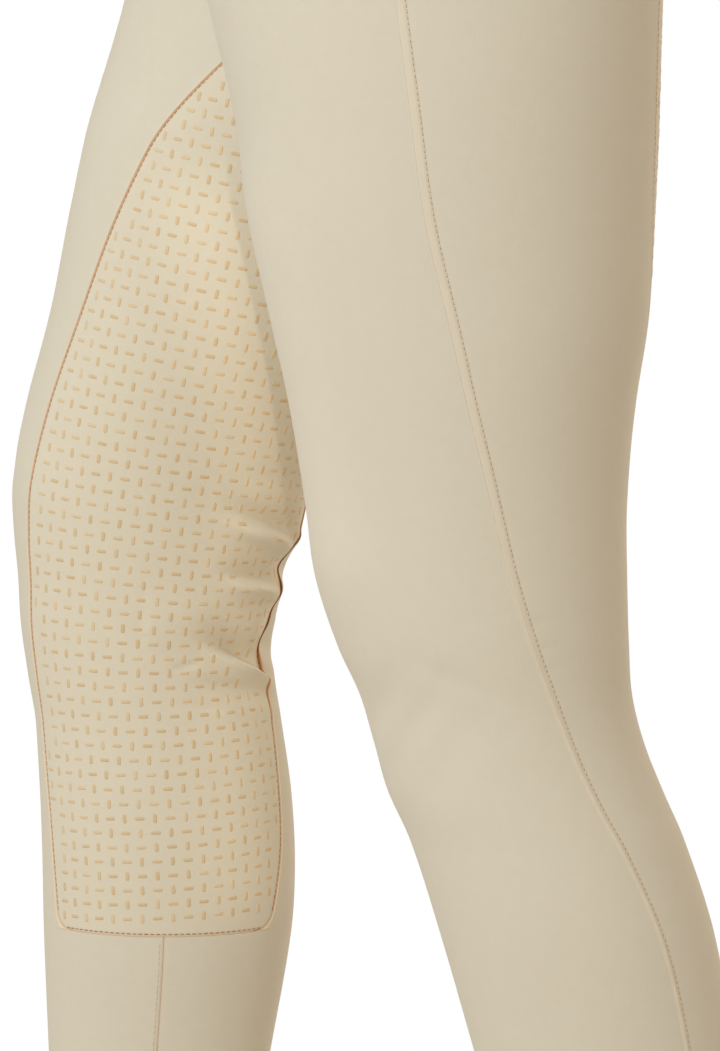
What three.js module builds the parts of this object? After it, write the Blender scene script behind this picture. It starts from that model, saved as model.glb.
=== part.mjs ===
// Riding breeches with a full grip seat, worn and hollow, in a walking stance.
//
// Millimetres, +Z up. The front faces -Y and the left leg is on +X. The origin is the middle of
// the waist, inside the waistband at half its height. The left leg is set back and the right one
// forward. Every piece is a thin wall laid on one skin for each side of the body. A place on the
// skin is given by two numbers: "around" runs once round the leg, 0 and 1 at the inseam, 0.25 at
// the front, 0.5 at the outside and 0.75 at the back, and above the crotch 0 is the front middle
// and 1 the back middle. "height" is the level at the outside of the leg; towards the middle the
// rows above the crotch arch over it.

import * as THREE from "three";

// Cloth and seams
const CLOTH = 1.6;
const BAND_CLOTH = 2.6;
const SEAM_GAP = 0.3;

// Levels
const BAND_TOP = 20;
const BAND_FOOT = -20;
const FLY_FOOT = -104;
const CROTCH = -220;
const GRIP_FOOT = -703;
const CUFF_TOP = -760;

// The waist stands higher at the back than at the front
const BACK_RISE = 25;
const BACK_RISE_ENDS = -150;

// The crotch: how high the skin curves up from it to the front and back middle, and over what
// height the legs pass into the torso, at the middle and at the outside
const CROTCH_ZONE = 115;
const HIP_ZONE = 170;
const CROTCH_EASE = 1.7;
const FRONT_CURVE = 75;
const BACK_CURVE = 100;
const CROTCH_EASE_ENDS = -330;

// Sections of each leg, a row for a level, with the reach of the cloth to the front and the back
const LEFT_LEG = [
  { z: -150, front: -97, back: 120 },
  { z: -220, front: -87, back: 117 },
  { z: -311, front: -70.5, back: 111 },
  { z: -354, front: -65.3, back: 109 },
  { z: -395, front: -56.4, back: 106.7 },
  { z: -436, front: -47.4, back: 100.9 },
  { z: -478, front: -40.6, back: 97.7 },
  { z: -509, front: -36.4, back: 97.9 },
  { z: -540, front: -26.5, back: 98.9 },
  { z: -561, front: -17, back: 100.4 },
  { z: -582, front: -11, back: 105.7 },
  { z: -603, front: -4.9, back: 114 },
  { z: -624, front: 4.6, back: 123.2 },
  { z: -665, front: 17.7, back: 136.5 },
  { z: -715, front: 32, back: 145 },
  { z: -760, front: 45, back: 148 },
  { z: -810, front: 61, back: 153 },
  { z: -874, front: 80, back: 163 },
];
const RIGHT_LEG = [
  { z: -150, front: -109, back: 101 },
  { z: -220, front: -122, back: 84 },
  { z: -317, front: -142.2, back: 36 },
  { z: -362, front: -151.7, back: 12 },
  { z: -406, front: -160.5, back: -9 },
  { z: -451, front: -172.5, back: -29 },
  { z: -484, front: -178.6, back: -39 },
  { z: -507, front: -178.4, back: -44 },
  { z: -529, front: -176.5, back: -50 },
  { z: -552, front: -175.3, back: -55.5 },
  { z: -575, front: -172.2, back: -57 },
  { z: -597, front: -169, back: -54 },
  { z: -631, front: -166.9, back: -49.3 },
  { z: -665, front: -166, back: -47.5 },
  { z: -699, front: -165.5, back: -49.4 },
  { z: -760, front: -163.5, back: -60 },
  { z: -820, front: -161, back: -70 },
  { z: -890, front: -159, back: -77 },
];

// How far the cloth of either leg reaches inwards and outwards from the middle of the body
const LEG_WIDTHS = [
  { z: -150, inner: 0, outer: 178 },
  { z: -220, inner: 0, outer: 177 },
  { z: -230, inner: 3.2, outer: 176.6 },
  { z: -260, inner: 5.6, outer: 175.5 },
  { z: -311, inner: 9, outer: 172 },
  { z: -400, inner: 20, outer: 162 },
  { z: -470, inner: 30, outer: 152 },
  { z: -530, inner: 36, outer: 146 },
  { z: -570, inner: 38, outer: 142 },
  { z: -650, inner: 38, outer: 144 },
  { z: -700, inner: 42, outer: 140 },
  { z: -760, inner: 50, outer: 133 },
  { z: -890, inner: 57, outer: 125 },
];

// Sections of the torso, one half. "full" is how much the oval swells between its axes.
const TORSO = [
  { z: 20, width: 138, front: -97, back: 92, full: 0.02 },
  { z: -20, width: 146, front: -102, back: 98, full: 0.03 },
  { z: -60, width: 156, front: -108, back: 106, full: 0.05 },
  { z: -100, width: 165, front: -111, back: 114, full: 0.07 },
  { z: -140, width: 172, front: -112, back: 119, full: 0.09 },
  { z: -180, width: 177, front: -111, back: 120, full: 0.11 },
  { z: -220, width: 178, front: -108, back: 118, full: 0.13 },
];

// Seams, a row for a level
const SIDE_SEAM = [
  { z: 0, around: 0.492 },
  { z: -120, around: 0.476 },
  { z: -220, around: 0.466 },
  { z: -311, around: 0.471 },
  { z: -372, around: 0.482 },
  { z: -421, around: 0.498 },
  { z: -467, around: 0.519 },
  { z: -528, around: 0.5475 },
  { z: -569, around: 0.568 },
  { z: -613, around: 0.583 },
  { z: -663, around: 0.6 },
  { z: -760, around: 0.608 },
];
const GRIP_FRONT_SEAM = [
  { z: -220, around: 0 },
  { z: -240, around: 0.03 },
  { z: -270, around: 0.066 },
  { z: -316, around: 0.0995 },
  { z: -361, around: 0.1255 },
  { z: -413, around: 0.148 },
  { z: -468, around: 0.16 },
  { z: -517, around: 0.177 },
  { z: -570, around: 0.187 },
  { z: -610, around: 0.192 },
  { z: -650, around: 0.184 },
  { z: -703, around: 0.174 },
];
const GRIP_BACK_SEAM = [
  { z: -178, around: 0.7 },
  { z: -220, around: 0.688 },
  { z: -311, around: 0.717 },
  { z: -350, around: 0.733 },
  { z: -390, around: 0.75 },
  { z: -450, around: 0.765 },
  { z: -500, around: 0.773 },
  { z: -560, around: 0.79 },
  { z: -600, around: 0.806 },
  { z: -650, around: 0.823 },
  { z: -703, around: 0.843 },
];

// Over the seat the top edge of the grip is an arch from the back middle to the back seam. Its
// rows are given as shares of its height, and its roundness is 0.5 for an ellipse and 1 for a point.
const SEAT_TOP = -78;
const SEAT_ARCH_ROUND = 0.68;
const SEAT_ARCH_ENDS = -178;
const SEAT_ARCH_SHARES = [0.01, 0.12, 0.24, 0.37, 0.52, 0.68, 0.84, 1];

// The grip's lower corners are rounded
const CORNER = 8;
const CORNER_ANGLES = [0, 30, 60];
const GRIP_FOOT_GAP = 0.15;

// Folds at the back of a knee, bent in as soft troughs across the leg. "around" and "level" are
// the deepest place, "slope" how the trough falls in mm for a whole turn round the leg, "reach"
// how far round it runs and "width" how far down.
const RIGHT_FOLDS = [
  { around: 0.86, level: -495, slope: -60, reach: 0.13, width: 7, depth: 2.6 },
  { around: 0.81, level: -527, slope: 90, reach: 0.17, width: 8, depth: 5.4 },
  { around: 0.83, level: -548, slope: 40, reach: 0.12, width: 6, depth: 2 },
  { around: 0.8, level: -569, slope: -130, reach: 0.16, width: 8, depth: 4.8 },
];
const LEFT_FOLDS = [
  { around: 0.84, level: -512, slope: -50, reach: 0.1, width: 9, depth: 2.2 },
  { around: 0.87, level: -540, slope: 80, reach: 0.12, width: 10, depth: 3 },
];

// How finely each panel is divided, across it and down it
const FRONT_COLUMNS = 8;
const BACK_COLUMNS = 6;
const GRIP_COLUMNS = 9;
const INSEAM_COLUMNS = 3;
const CUFF_COLUMNS = 24;
const BAND_COLUMNS = 22;

// Closure at the front: the tab laps left, with the button on it
const TAB_LAP = 38;
const TAB_LIFT_STARTS = 0.16;
const TAB_LIFT_ENDS = 0.06;
const FLY_LAP = 6;
const FLY_WIDTH = 34;
const FLY_CURVE = 32;
const FLY_ROWS = 10;
const FLY_COLUMNS = 5;
const BUTTON_RADIUS = 8.5;
const BUTTON_THICK = 3;
const BUTTON_RIM = 1.6;
const BUTTON_PLACE = 20;

// The two sides: the sign of X, the leg's own sections, folds, rows at the knee and hem
const LEFT = { sign: 1, leg: LEFT_LEG, folds: LEFT_FOLDS, kneeStep: 13, hem: -874 };
const RIGHT = { sign: -1, leg: RIGHT_LEG, folds: RIGHT_FOLDS, kneeStep: 7, hem: -890 };

// Colours
const KNIT = new THREE.MeshStandardMaterial({ color: 0xd6cbb4, roughness: 0.88 });
const GRIP_KNIT = new THREE.MeshStandardMaterial({ color: 0xdac8a4, roughness: 0.8 });
const CUFF_KNIT = new THREE.MeshStandardMaterial({ color: 0xd2c6ae, roughness: 0.92 });
const HORN = new THREE.MeshStandardMaterial({ color: 0xbfa888, roughness: 0.4 });

// Reads a column of a table at a level by a smooth curve through the rows, held level past its ends
function at(table, column, z) {
  const last = table.length - 1;
  const down = table[0].z > table[last].z ? 1 : -1;
  if (down * (z - table[0].z) >= 0) return table[0][column];
  if (down * (z - table[last].z) <= 0) return table[last][column];
  let i = 0;
  while (down * (z - table[i + 1].z) < 0) i += 1;
  const slope = (j) => {
    const before = table[Math.max(j - 1, 0)];
    const after = table[Math.min(j + 1, last)];
    return (after[column] - before[column]) / (after.z - before.z);
  };
  const [p, q] = [table[i], table[i + 1]];
  const span = q.z - p.z;
  const t = (z - p.z) / span;
  const rise = (1 - t) ** 2 * t * span * slope(i) - t * t * (1 - t) * span * slope(i + 1);
  return p[column] * (1 + 2 * t) * (1 - t) ** 2 + q[column] * t * t * (3 - 2 * t) + rise;
}

function ease(t) {
  const x = THREE.MathUtils.clamp(t, 0, 1);
  return x * x * (3 - 2 * x);
}

// The torso's outline at a level: half a full oval from the front middle to the back middle
function torsoSection(around, z) {
  const front = at(TORSO, "front", z);
  const back = at(TORSO, "back", z);
  const swell = 1 + at(TORSO, "full", z) * Math.sin(2 * Math.PI * around) ** 2;
  const x = at(TORSO, "width", z) * swell * Math.sin(Math.PI * around);
  const y = (front + back) / 2 - ((back - front) / 2) * swell * Math.cos(Math.PI * around);
  return [x, y];
}

// The leg's outline at a level: an oval, whose inmost point is drawn to the middle at the crotch
function legSection(leg, around, z) {
  const front = at(leg, "front", z);
  const back = at(leg, "back", z);
  const inner = at(LEG_WIDTHS, "inner", z);
  const outer = at(LEG_WIDTHS, "outer", z);
  const turn = 2 * Math.PI * around;
  const middle = (front + back) / 2;
  const drawn = ease((z - CROTCH_EASE_ENDS) / (CROTCH - CROTCH_EASE_ENDS));
  const x = (inner + outer) / 2 - ((outer - inner) / 2) * Math.cos(turn);
  const y = middle - ((back - front) / 2) * Math.sin(turn);
  return [x, y - middle * drawn * Math.cos(Math.PI * around) ** 4];
}

// The middle runs from the crotch to the front or back as a quarter of an ellipse: the angle on it
// for a row of a given height, slow at first so that the legs pass smoothly into the crotch
function crotchAngle(height) {
  const part = Math.min((height - CROTCH) / CROTCH_ZONE, 1);
  return (Math.PI / 2) * part ** CROTCH_EASE;
}

// The level of the front or back middle on the row of a given height
function middleLevel(height, curve) {
  const zoneTop = CROTCH + CROTCH_ZONE;
  if (height >= zoneTop) return THREE.MathUtils.mapLinear(height, zoneTop, 0, CROTCH + curve, 0);
  return CROTCH + curve * (1 - Math.cos(crotchAngle(height)));
}

// The smooth skin of the left side, before its folds. Between the crotch and the hip it passes
// from the leg's outline to the torso's.
function smoothSkin(side, around, height) {
  if (height <= CROTCH) {
    const [x, y] = legSection(side.leg, around, height);
    return new THREE.Vector3(x + SEAM_GAP / 2, y, height);
  }
  const towards = Math.cos(Math.PI * around) ** 2;
  const atMiddle = Math.sin(crotchAngle(height));
  const atSide = ease((height - CROTCH) / HIP_ZONE);
  const asLeg = 1 - atSide - (atMiddle - atSide) * towards ** 3;
  const middle = middleLevel(height, around < 0.5 ? FRONT_CURVE : BACK_CURVE);
  const z = height + (middle - height) * towards;
  const [torsoX, torsoY] = torsoSection(around, z);
  const [legX, legY] = legSection(side.leg, around, z);
  const x = torsoX + (legX - torsoX) * asLeg;
  const y = torsoY + (legY - torsoY) * asLeg;
  const rise = ease((height - BACK_RISE_ENDS) / (BAND_FOOT - BACK_RISE_ENDS));
  const tilt = (BACK_RISE * rise * (1 - Math.cos(Math.PI * around))) / 2;
  return new THREE.Vector3(x + SEAM_GAP / 2, y, z + tilt);
}

// The outward direction of the smooth skin
function outward(side, around, height) {
  const step = 0.004;
  const rise = 1.5;
  const closed = height <= CROTCH;
  const before = closed ? around - step : Math.max(around - step, 0);
  const after = closed ? around + step : Math.min(around + step, 1);
  const across = smoothSkin(side, after, height).sub(smoothSkin(side, before, height));
  const up = smoothSkin(side, around, height + rise).sub(smoothSkin(side, around, height - rise));
  return across.cross(up).normalize();
}

// How far the folds bend the skin in at a place
function foldDepth(side, around, height) {
  const turn = around - Math.floor(around);
  let depth = 0;
  for (const fold of side.folds) {
    const off = turn - fold.around;
    const level = fold.level + fold.slope * off;
    const along = Math.cos(THREE.MathUtils.clamp(off / fold.reach, -1, 1) * (Math.PI / 2)) ** 2;
    depth += fold.depth * along * Math.exp(-(((height - level) / fold.width) ** 2));
  }
  return depth;
}

// A point of a side's skin, moved out by some mm. The right side is the mirror image.
function skin(side, around, height, out = 0) {
  const point = smoothSkin(side, around, height);
  const move = out - foldDepth(side, around, height);
  point.addScaledVector(outward(side, around, height), move);
  point.x = Math.max(point.x, SEAM_GAP / 2) * side.sign;
  return point;
}

// How far round the leg a length across the skin is
function turnFor(side, length, around, height) {
  const step = 0.01;
  const low = Math.min(around, 1 - step);
  const run = smoothSkin(side, low, height).distanceTo(smoothSkin(side, low + step, height));
  return (length / run) * step;
}

// A closed wall from a grid of outer and inner points. Cells that "has" leaves out are missing,
// and each free edge is closed by a rim. A ring's last column joins its first.
function wallGeometry({ outer, inner, ring = false, mirrored = false, has = () => true }) {
  const rows = outer.length - 1;
  const points = outer[0].length;
  const columns = ring ? points : points - 1;
  const positions = [];
  const index = [];
  const numbers = new Map();
  const vertex = (layer, r, c) => {
    const key = `${layer} ${r} ${c % points}`;
    if (!numbers.has(key)) {
      numbers.set(key, positions.length / 3);
      positions.push(...(layer ? inner : outer)[r][c % points].toArray());
    }
    return numbers.get(key);
  };
  const quad = (a, b, c, d) => {
    if (mirrored) index.push(a, c, b, a, d, c);
    else index.push(a, b, c, a, c, d);
  };
  const cell = (r, c) => {
    if (r < 0 || r >= rows) return false;
    if (ring) return has(r, (c + columns) % columns);
    return c >= 0 && c < columns && has(r, c);
  };
  for (let r = 0; r < rows; r += 1) {
    for (let c = 0; c < columns; c += 1) {
      if (!cell(r, c)) continue;
      const corners = [[r + 1, c], [r + 1, c + 1], [r, c + 1], [r, c]];
      const neighbours = [[r + 1, c], [r, c + 1], [r - 1, c], [r, c - 1]];
      quad(...corners.map(([i, j]) => vertex(0, i, j)));
      quad(...corners.toReversed().map(([i, j]) => vertex(1, i, j)));
      for (let k = 0; k < 4; k += 1) {
        if (cell(...neighbours[k])) continue;
        const [p, q] = [corners[k], corners[(k + 1) % 4]];
        quad(vertex(0, ...q), vertex(0, ...p), vertex(1, ...p), vertex(1, ...q));
      }
    }
  }
  const geometry = new THREE.BufferGeometry();
  geometry.setAttribute("position", new THREE.Float32BufferAttribute(positions, 3));
  geometry.setIndex(index);
  return geometry;
}

function piece(name, geometry, material) {
  const mesh = new THREE.Mesh(geometry, material);
  mesh.name = name;
  return mesh;
}

// Levels from one to the next, evenly spaced, without the last
function levels(from, to, step) {
  const count = Math.max(1, Math.round(Math.abs(to - from) / step));
  return Array.from({ length: count }, (_, i) => from + ((to - from) * i) / count);
}

// The levels of the rows at the grip's rounded corners
const CORNER_LEVELS = CORNER_ANGLES.map((degrees) => {
  return GRIP_FOOT + CORNER * (1 - Math.sin(THREE.MathUtils.degToRad(degrees)));
});

// The levels of the seat's arch rows
const SEAT_ARCH_LEVELS = SEAT_ARCH_SHARES.map((share) => SEAT_TOP + (SEAT_ARCH_ENDS - SEAT_TOP) * share);

// All rows of a side's panels, from the waistband down to the cuff
function panelLevels(side) {
  return [
    ...levels(BAND_FOOT - SEAM_GAP / 2, SEAT_TOP, 20),
    SEAT_TOP,
    ...SEAT_ARCH_LEVELS,
    ...levels(SEAT_ARCH_ENDS, CROTCH, 14).slice(1),
    ...levels(CROTCH, -240, 10),
    ...levels(-240, -480, 24),
    ...levels(-480, -585, side.kneeStep),
    ...levels(-585, CORNER_LEVELS[0], 22),
    ...CORNER_LEVELS,
    GRIP_FOOT - GRIP_FOOT_GAP,
    ...levels(GRIP_FOOT, CUFF_TOP, 19).slice(1),
    CUFF_TOP + SEAM_GAP / 2,
  ];
}

// How far a seam is drawn in at the grip's rounded corners, in mm
function cornerInset(height) {
  const above = height - GRIP_FOOT;
  if (above >= CORNER) return 0;
  return CORNER - Math.sqrt(CORNER ** 2 - (CORNER - Math.max(above, 0)) ** 2);
}

function gripFront(side, height) {
  const around = at(GRIP_FRONT_SEAM, "around", height);
  return around - turnFor(side, cornerInset(height), around, height);
}

function gripBack(side, height) {
  if (height >= SEAT_TOP) return 1;
  if (height > SEAT_ARCH_ENDS) {
    const share = (height - SEAT_TOP) / (SEAT_ARCH_ENDS - SEAT_TOP);
    return 1 - (1 - GRIP_BACK_SEAM[0].around) * (1 - (1 - share) ** 2) ** SEAT_ARCH_ROUND;
  }
  const around = at(GRIP_BACK_SEAM, "around", height);
  return around + turnFor(side, cornerInset(height), around, height);
}

// Half the seam gap, taken along the row, so wider where the seam runs more nearly along the row
function halfGap(side, seam, height) {
  const step = 0.5;
  const lower = seam(side, height - step);
  const upper = seam(side, height + step);
  const around = (lower + upper) / 2;
  const lean = Math.abs(upper - lower) / turnFor(side, 1, around, height) / (2 * step);
  const widest = 5;
  return turnFor(side, (SEAM_GAP / 2) * Math.min(Math.hypot(1, lean), widest), around, height);
}

function sideSeam(side, height) {
  return at(SIDE_SEAM, "around", height);
}

// A panel's grid of places: for each level the stretches that "stretches" gives, each with its
// two ends and its number of columns, one after the other
function panel(name, side, rows, stretches, material, has) {
  const grid = (out) =>
    rows.map((height) => {
      const places = [];
      for (const [from, to, columns] of stretches(height)) {
        const first = places.length ? 1 : 0;
        for (let c = first; c <= columns; c += 1) places.push(from + ((to - from) * c) / columns);
      }
      return places.map((around) => skin(side, around, height, out));
    });
  const mirrored = side.sign < 0;
  return piece(name, wallGeometry({ outer: grid(0), inner: grid(-CLOTH), mirrored, has }), material);
}

// The front: from the grip's front seam to the side seam, and below the grip from the inseam
function frontPanel(name, side) {
  const rows = panelLevels(side);
  const inseamGap = (height) => turnFor(side, SEAM_GAP / 2, 0, height);
  const stretches = (height) => {
    const seam = gripFront(side, Math.max(height, GRIP_FOOT));
    const open = height > CROTCH;
    const gap = height < GRIP_FOOT ? 0 : halfGap(side, gripFront, height);
    const start = open ? 0 : seam + gap;
    const end = sideSeam(side, height) - halfGap(side, sideSeam, height);
    return [[inseamGap(height), start, INSEAM_COLUMNS], [start, end, FRONT_COLUMNS]];
  };
  const has = (r, c) => c >= INSEAM_COLUMNS || rows[r] < GRIP_FOOT;
  return panel(name, side, rows, stretches, KNIT, has);
}

// The back: from the side seam to the grip's back seam, and below the grip on to the inseam
function backPanel(name, side) {
  const rows = panelLevels(side);
  const stretches = (height) => {
    const seam = gripBack(side, Math.max(height, GRIP_FOOT));
    const free = height < GRIP_FOOT || height >= SEAT_TOP;
    const end = seam - (free ? 0 : halfGap(side, gripBack, height));
    const start = sideSeam(side, height) + halfGap(side, sideSeam, height);
    const inseam = 1 - turnFor(side, SEAM_GAP / 2, 1, height);
    return [[start, end, BACK_COLUMNS], [end, inseam, INSEAM_COLUMNS]];
  };
  const has = (r, c) => c < BACK_COLUMNS || rows[r] < GRIP_FOOT;
  return panel(name, side, rows, stretches, KNIT, has);
}

// The grip: over the seat from its arch to the back middle, and down the inside of the leg
function gripPanel(name, side) {
  const first = SEAT_ARCH_LEVELS[0];
  const last = GRIP_FOOT + GRIP_FOOT_GAP;
  const rows = panelLevels(side).filter((height) => height <= first && height > last);
  const stretches = (height) => {
    const start = gripBack(side, height) + halfGap(side, gripBack, height);
    const end = height >= CROTCH ? 1 : 1 + gripFront(side, height) - halfGap(side, gripFront, height);
    return [[start, end, GRIP_COLUMNS]];
  };
  return panel(name, side, [...rows, last], stretches, GRIP_KNIT);
}

// A stretch cuff: a plain tube from the end of the panels to the hem
function cuff(name, side) {
  const rows = [...levels(CUFF_TOP - SEAM_GAP / 2, side.hem, 24), side.hem];
  const grid = (out) =>
    rows.map((height) =>
      Array.from({ length: CUFF_COLUMNS }, (_, c) => skin(side, c / CUFF_COLUMNS, height, out)),
    );
  const mirrored = side.sign < 0;
  const geometry = wallGeometry({ outer: grid(0), inner: grid(-CLOTH), ring: true, mirrored });
  return piece(name, geometry, CUFF_KNIT);
}

// A point a length to the right of the front middle, or to the left where the length is negative
function acrossFront(length, height, out) {
  const side = length >= 0 ? RIGHT : LEFT;
  return skin(side, turnFor(side, Math.abs(length), 0, height), height, out);
}

// How far the closure stands off the skin, to lie over the left front
const TAB_LIFT = BAND_CLOTH + SEAM_GAP;

// The waistband: from the left front round the back to the right front, and on over the left as
// the tab. "turn" runs from 0 to 1 round the left side and from 1 to 2 round the right.
function waistband(name) {
  const halves = Array.from({ length: 2 * BAND_COLUMNS }, (_, c) => c / BAND_COLUMNS);
  const lap = turnFor(LEFT, TAB_LAP, 0, 0);
  const turns = [...halves, 2, 2 + lap / 2, 2 + lap];
  const heights = [BAND_TOP, 0, BAND_FOOT + SEAM_GAP / 2];
  const point = (turn, height, out) => {
    const lift = TAB_LIFT * ease((turn - 2 + TAB_LIFT_STARTS) / (TAB_LIFT_STARTS - TAB_LIFT_ENDS));
    if (turn <= 1) return skin(LEFT, turn, height, out);
    if (turn <= 2) return skin(RIGHT, 2 - turn, height, out + lift);
    return skin(LEFT, turn - 2, height, out + lift);
  };
  const grid = (out) => heights.map((height) => turns.map((turn) => point(turn, height, out)));
  return piece(name, wallGeometry({ outer: grid(BAND_CLOTH), inner: grid(0) }), KNIT);
}

// The fly: a placket on the right front that laps the front middle and ends in a curve
function fly(name) {
  const top = BAND_FOOT - SEAM_GAP;
  const heights = Array.from({ length: FLY_ROWS + 1 }, (_, r) => {
    return top + (FLY_FOOT - top) * Math.sin(((r / FLY_ROWS) * Math.PI) / 2);
  });
  const width = (height) => {
    const above = (height - FLY_FOOT) / FLY_CURVE;
    const round = above >= 1 ? 1 : Math.sqrt(1 - (1 - above) ** 2);
    return FLY_WIDTH * Math.max(round, 0.12);
  };
  const grid = (out) =>
    heights.map((height) =>
      Array.from({ length: FLY_COLUMNS + 1 }, (_, c) => {
        const length = -FLY_LAP + ((FLY_LAP + width(height)) * (FLY_COLUMNS - c)) / FLY_COLUMNS;
        return acrossFront(length, height, out);
      }),
    );
  const geometry = wallGeometry({ outer: grid(SEAM_GAP + CLOTH), inner: grid(SEAM_GAP) });
  return piece(name, geometry, KNIT);
}

// The button: a disc with a rounded edge, flat on the tab
function button(name) {
  const rim = BUTTON_RADIUS - BUTTON_RIM;
  const profile = [
    new THREE.Vector2(0, 0),
    new THREE.Vector2(rim, 0),
    new THREE.Vector2(BUTTON_RADIUS, BUTTON_THICK / 2),
    new THREE.Vector2(rim, BUTTON_THICK),
    new THREE.Vector2(0, BUTTON_THICK),
  ];
  const disc = new THREE.LatheGeometry(profile, 24);
  const seat = TAB_LIFT + BAND_CLOTH + SEAM_GAP;
  const place = skin(LEFT, turnFor(LEFT, BUTTON_PLACE, 0, 0), 0, seat);
  const facing = outward(LEFT, turnFor(LEFT, BUTTON_PLACE, 0, 0), 0);
  const mesh = piece(name, disc, HORN);
  mesh.quaternion.setFromUnitVectors(new THREE.Vector3(0, 1, 0), facing);
  mesh.position.copy(place);
  return mesh;
}

const breeches = new THREE.Group();
for (const [hand, side] of [["left", LEFT], ["right", RIGHT]]) {
  breeches.add(frontPanel(`front_${hand}`, side));
  breeches.add(backPanel(`back_${hand}`, side));
  breeches.add(gripPanel(`grip_${hand}`, side));
  breeches.add(cuff(`cuff_${hand}`, side));
}
breeches.add(waistband("waistband"), fly("fly"), button("button"));

export default breeches;
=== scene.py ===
from math import cos, pi, radians, sin

import bpy
import numpy as np
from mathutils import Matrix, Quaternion, Vector


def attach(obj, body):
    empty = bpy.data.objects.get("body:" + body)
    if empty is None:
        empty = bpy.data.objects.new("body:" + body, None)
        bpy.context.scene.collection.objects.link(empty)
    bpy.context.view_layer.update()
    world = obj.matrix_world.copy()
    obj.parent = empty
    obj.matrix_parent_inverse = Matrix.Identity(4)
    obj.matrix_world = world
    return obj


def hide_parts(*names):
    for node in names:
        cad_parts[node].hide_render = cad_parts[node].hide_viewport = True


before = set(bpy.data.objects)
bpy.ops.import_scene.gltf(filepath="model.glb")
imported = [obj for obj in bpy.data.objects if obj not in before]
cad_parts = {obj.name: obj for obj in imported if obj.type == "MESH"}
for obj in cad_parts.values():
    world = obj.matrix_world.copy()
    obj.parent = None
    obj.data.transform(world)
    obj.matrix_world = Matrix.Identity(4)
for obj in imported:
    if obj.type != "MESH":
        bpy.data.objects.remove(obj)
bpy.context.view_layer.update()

# Riding breeches with a full grip seat, worn and hollow, in a walking stance.
#
# Sizes are in millimetres and are turned into metres where a mesh is made. The front faces -Y and
# the left leg is on +X. A place on the cloth is given by two numbers. "around" runs once round the
# leg: 0 and 1 at the inseam, 0.25 at the front, 0.5 at the outside and 0.75 at the back, and above
# the crotch 0 is the front middle and 1 the back middle. "height" is the level at the outside.

MM = 0.001

# Cloth, the lift of a layer over another, and the opening of a sewn seam
CLOTH = 1.6
BAND_CLOTH = 2.6
SEAM_GAP = 0.3
SEAM_OPEN = 0.03
HEM_FOLD = 14

# Levels
BAND_TOP = 20
BAND_FOOT = -20
BAND_STITCH_TOP = BAND_TOP - 3
BAND_STITCH_FOOT = BAND_FOOT + 3.2
FLY_FOOT = -104
CROTCH = -220
GRIP_FOOT = -692
CUFF_TOP = -760

# The waist stands higher at the back than at the front
BACK_RISE = 25
BACK_RISE_ENDS = -150

# How the legs pass into the torso above the crotch
CROTCH_ZONE = 115
HIP_ZONE = 170
CROTCH_EASE = 1.7
FRONT_CURVE = 75
BACK_CURVE = 100
CROTCH_EASE_ENDS = -330

# Where the side seam's look changes at the knee, and where the creases pull the grip's seam in
KNEE_TOP = -470
KNEE_ZONE = 80
KNEE_BACK = -538
KNEE_PULL_REACH = 38


def table(columns, *rows):
    """A table with named columns, sorted upwards by its first column."""
    return dict(zip(columns.split(), np.array(sorted(rows), float).T))


# Sections of each leg: the reach of the cloth to the front and the back at a level
LEFT_LEG = table(
    "z front back",
    (-150, -97, 120),
    (-220, -87, 117),
    (-311, -70.5, 111),
    (-354, -65.3, 109),
    (-395, -56.4, 106.7),
    (-436, -47.4, 100.9),
    (-478, -40.6, 97.7),
    (-509, -36.4, 97.9),
    (-540, -26.5, 98.9),
    (-561, -17, 100.4),
    (-582, -11, 105.7),
    (-603, -4.9, 114),
    (-624, 4.6, 123.2),
    (-665, 17.7, 136.5),
    (-715, 32, 145),
    (-760, 45, 148),
    (-810, 61, 153),
    (-874, 80, 163),
)
RIGHT_LEG = table(
    "z front back",
    (-150, -109, 101),
    (-220, -122, 84),
    (-317, -142.2, 36),
    (-362, -151.7, 12),
    (-406, -160.5, -9),
    (-451, -172.5, -29),
    (-484, -178.6, -39),
    (-507, -178.4, -44),
    (-529, -176.5, -50),
    (-552, -175.3, -55.5),
    (-575, -172.2, -57),
    (-597, -169, -54),
    (-631, -166.9, -49.3),
    (-665, -166, -47.5),
    (-699, -165.5, -49.4),
    (-760, -163.5, -60),
    (-820, -161, -70),
    (-890, -159, -77),
)

# How far the cloth of either leg reaches inwards and outwards from the middle of the body
LEG_WIDTHS = table(
    "z inner outer",
    (-150, 0, 178),
    (-220, 0, 177),
    (-230, 3.2, 176.6),
    (-260, 5.6, 175.5),
    (-311, 9, 172),
    (-400, 20, 162),
    (-470, 30, 152),
    (-530, 36, 146),
    (-570, 38, 142),
    (-650, 38, 144),
    (-700, 42, 140),
    (-760, 50, 133),
    (-890, 57, 125),
)

# Sections of the torso, one half. "full" is how much the oval swells between its axes.
TORSO = table(
    "z width front back full",
    (20, 138, -97, 92, 0.02),
    (-20, 146, -102, 98, 0.03),
    (-60, 156, -108, 106, 0.05),
    (-100, 165, -111, 114, 0.07),
    (-140, 172, -112, 119, 0.09),
    (-180, 177, -111, 120, 0.11),
    (-220, 178, -108, 118, 0.13),
)

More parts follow.
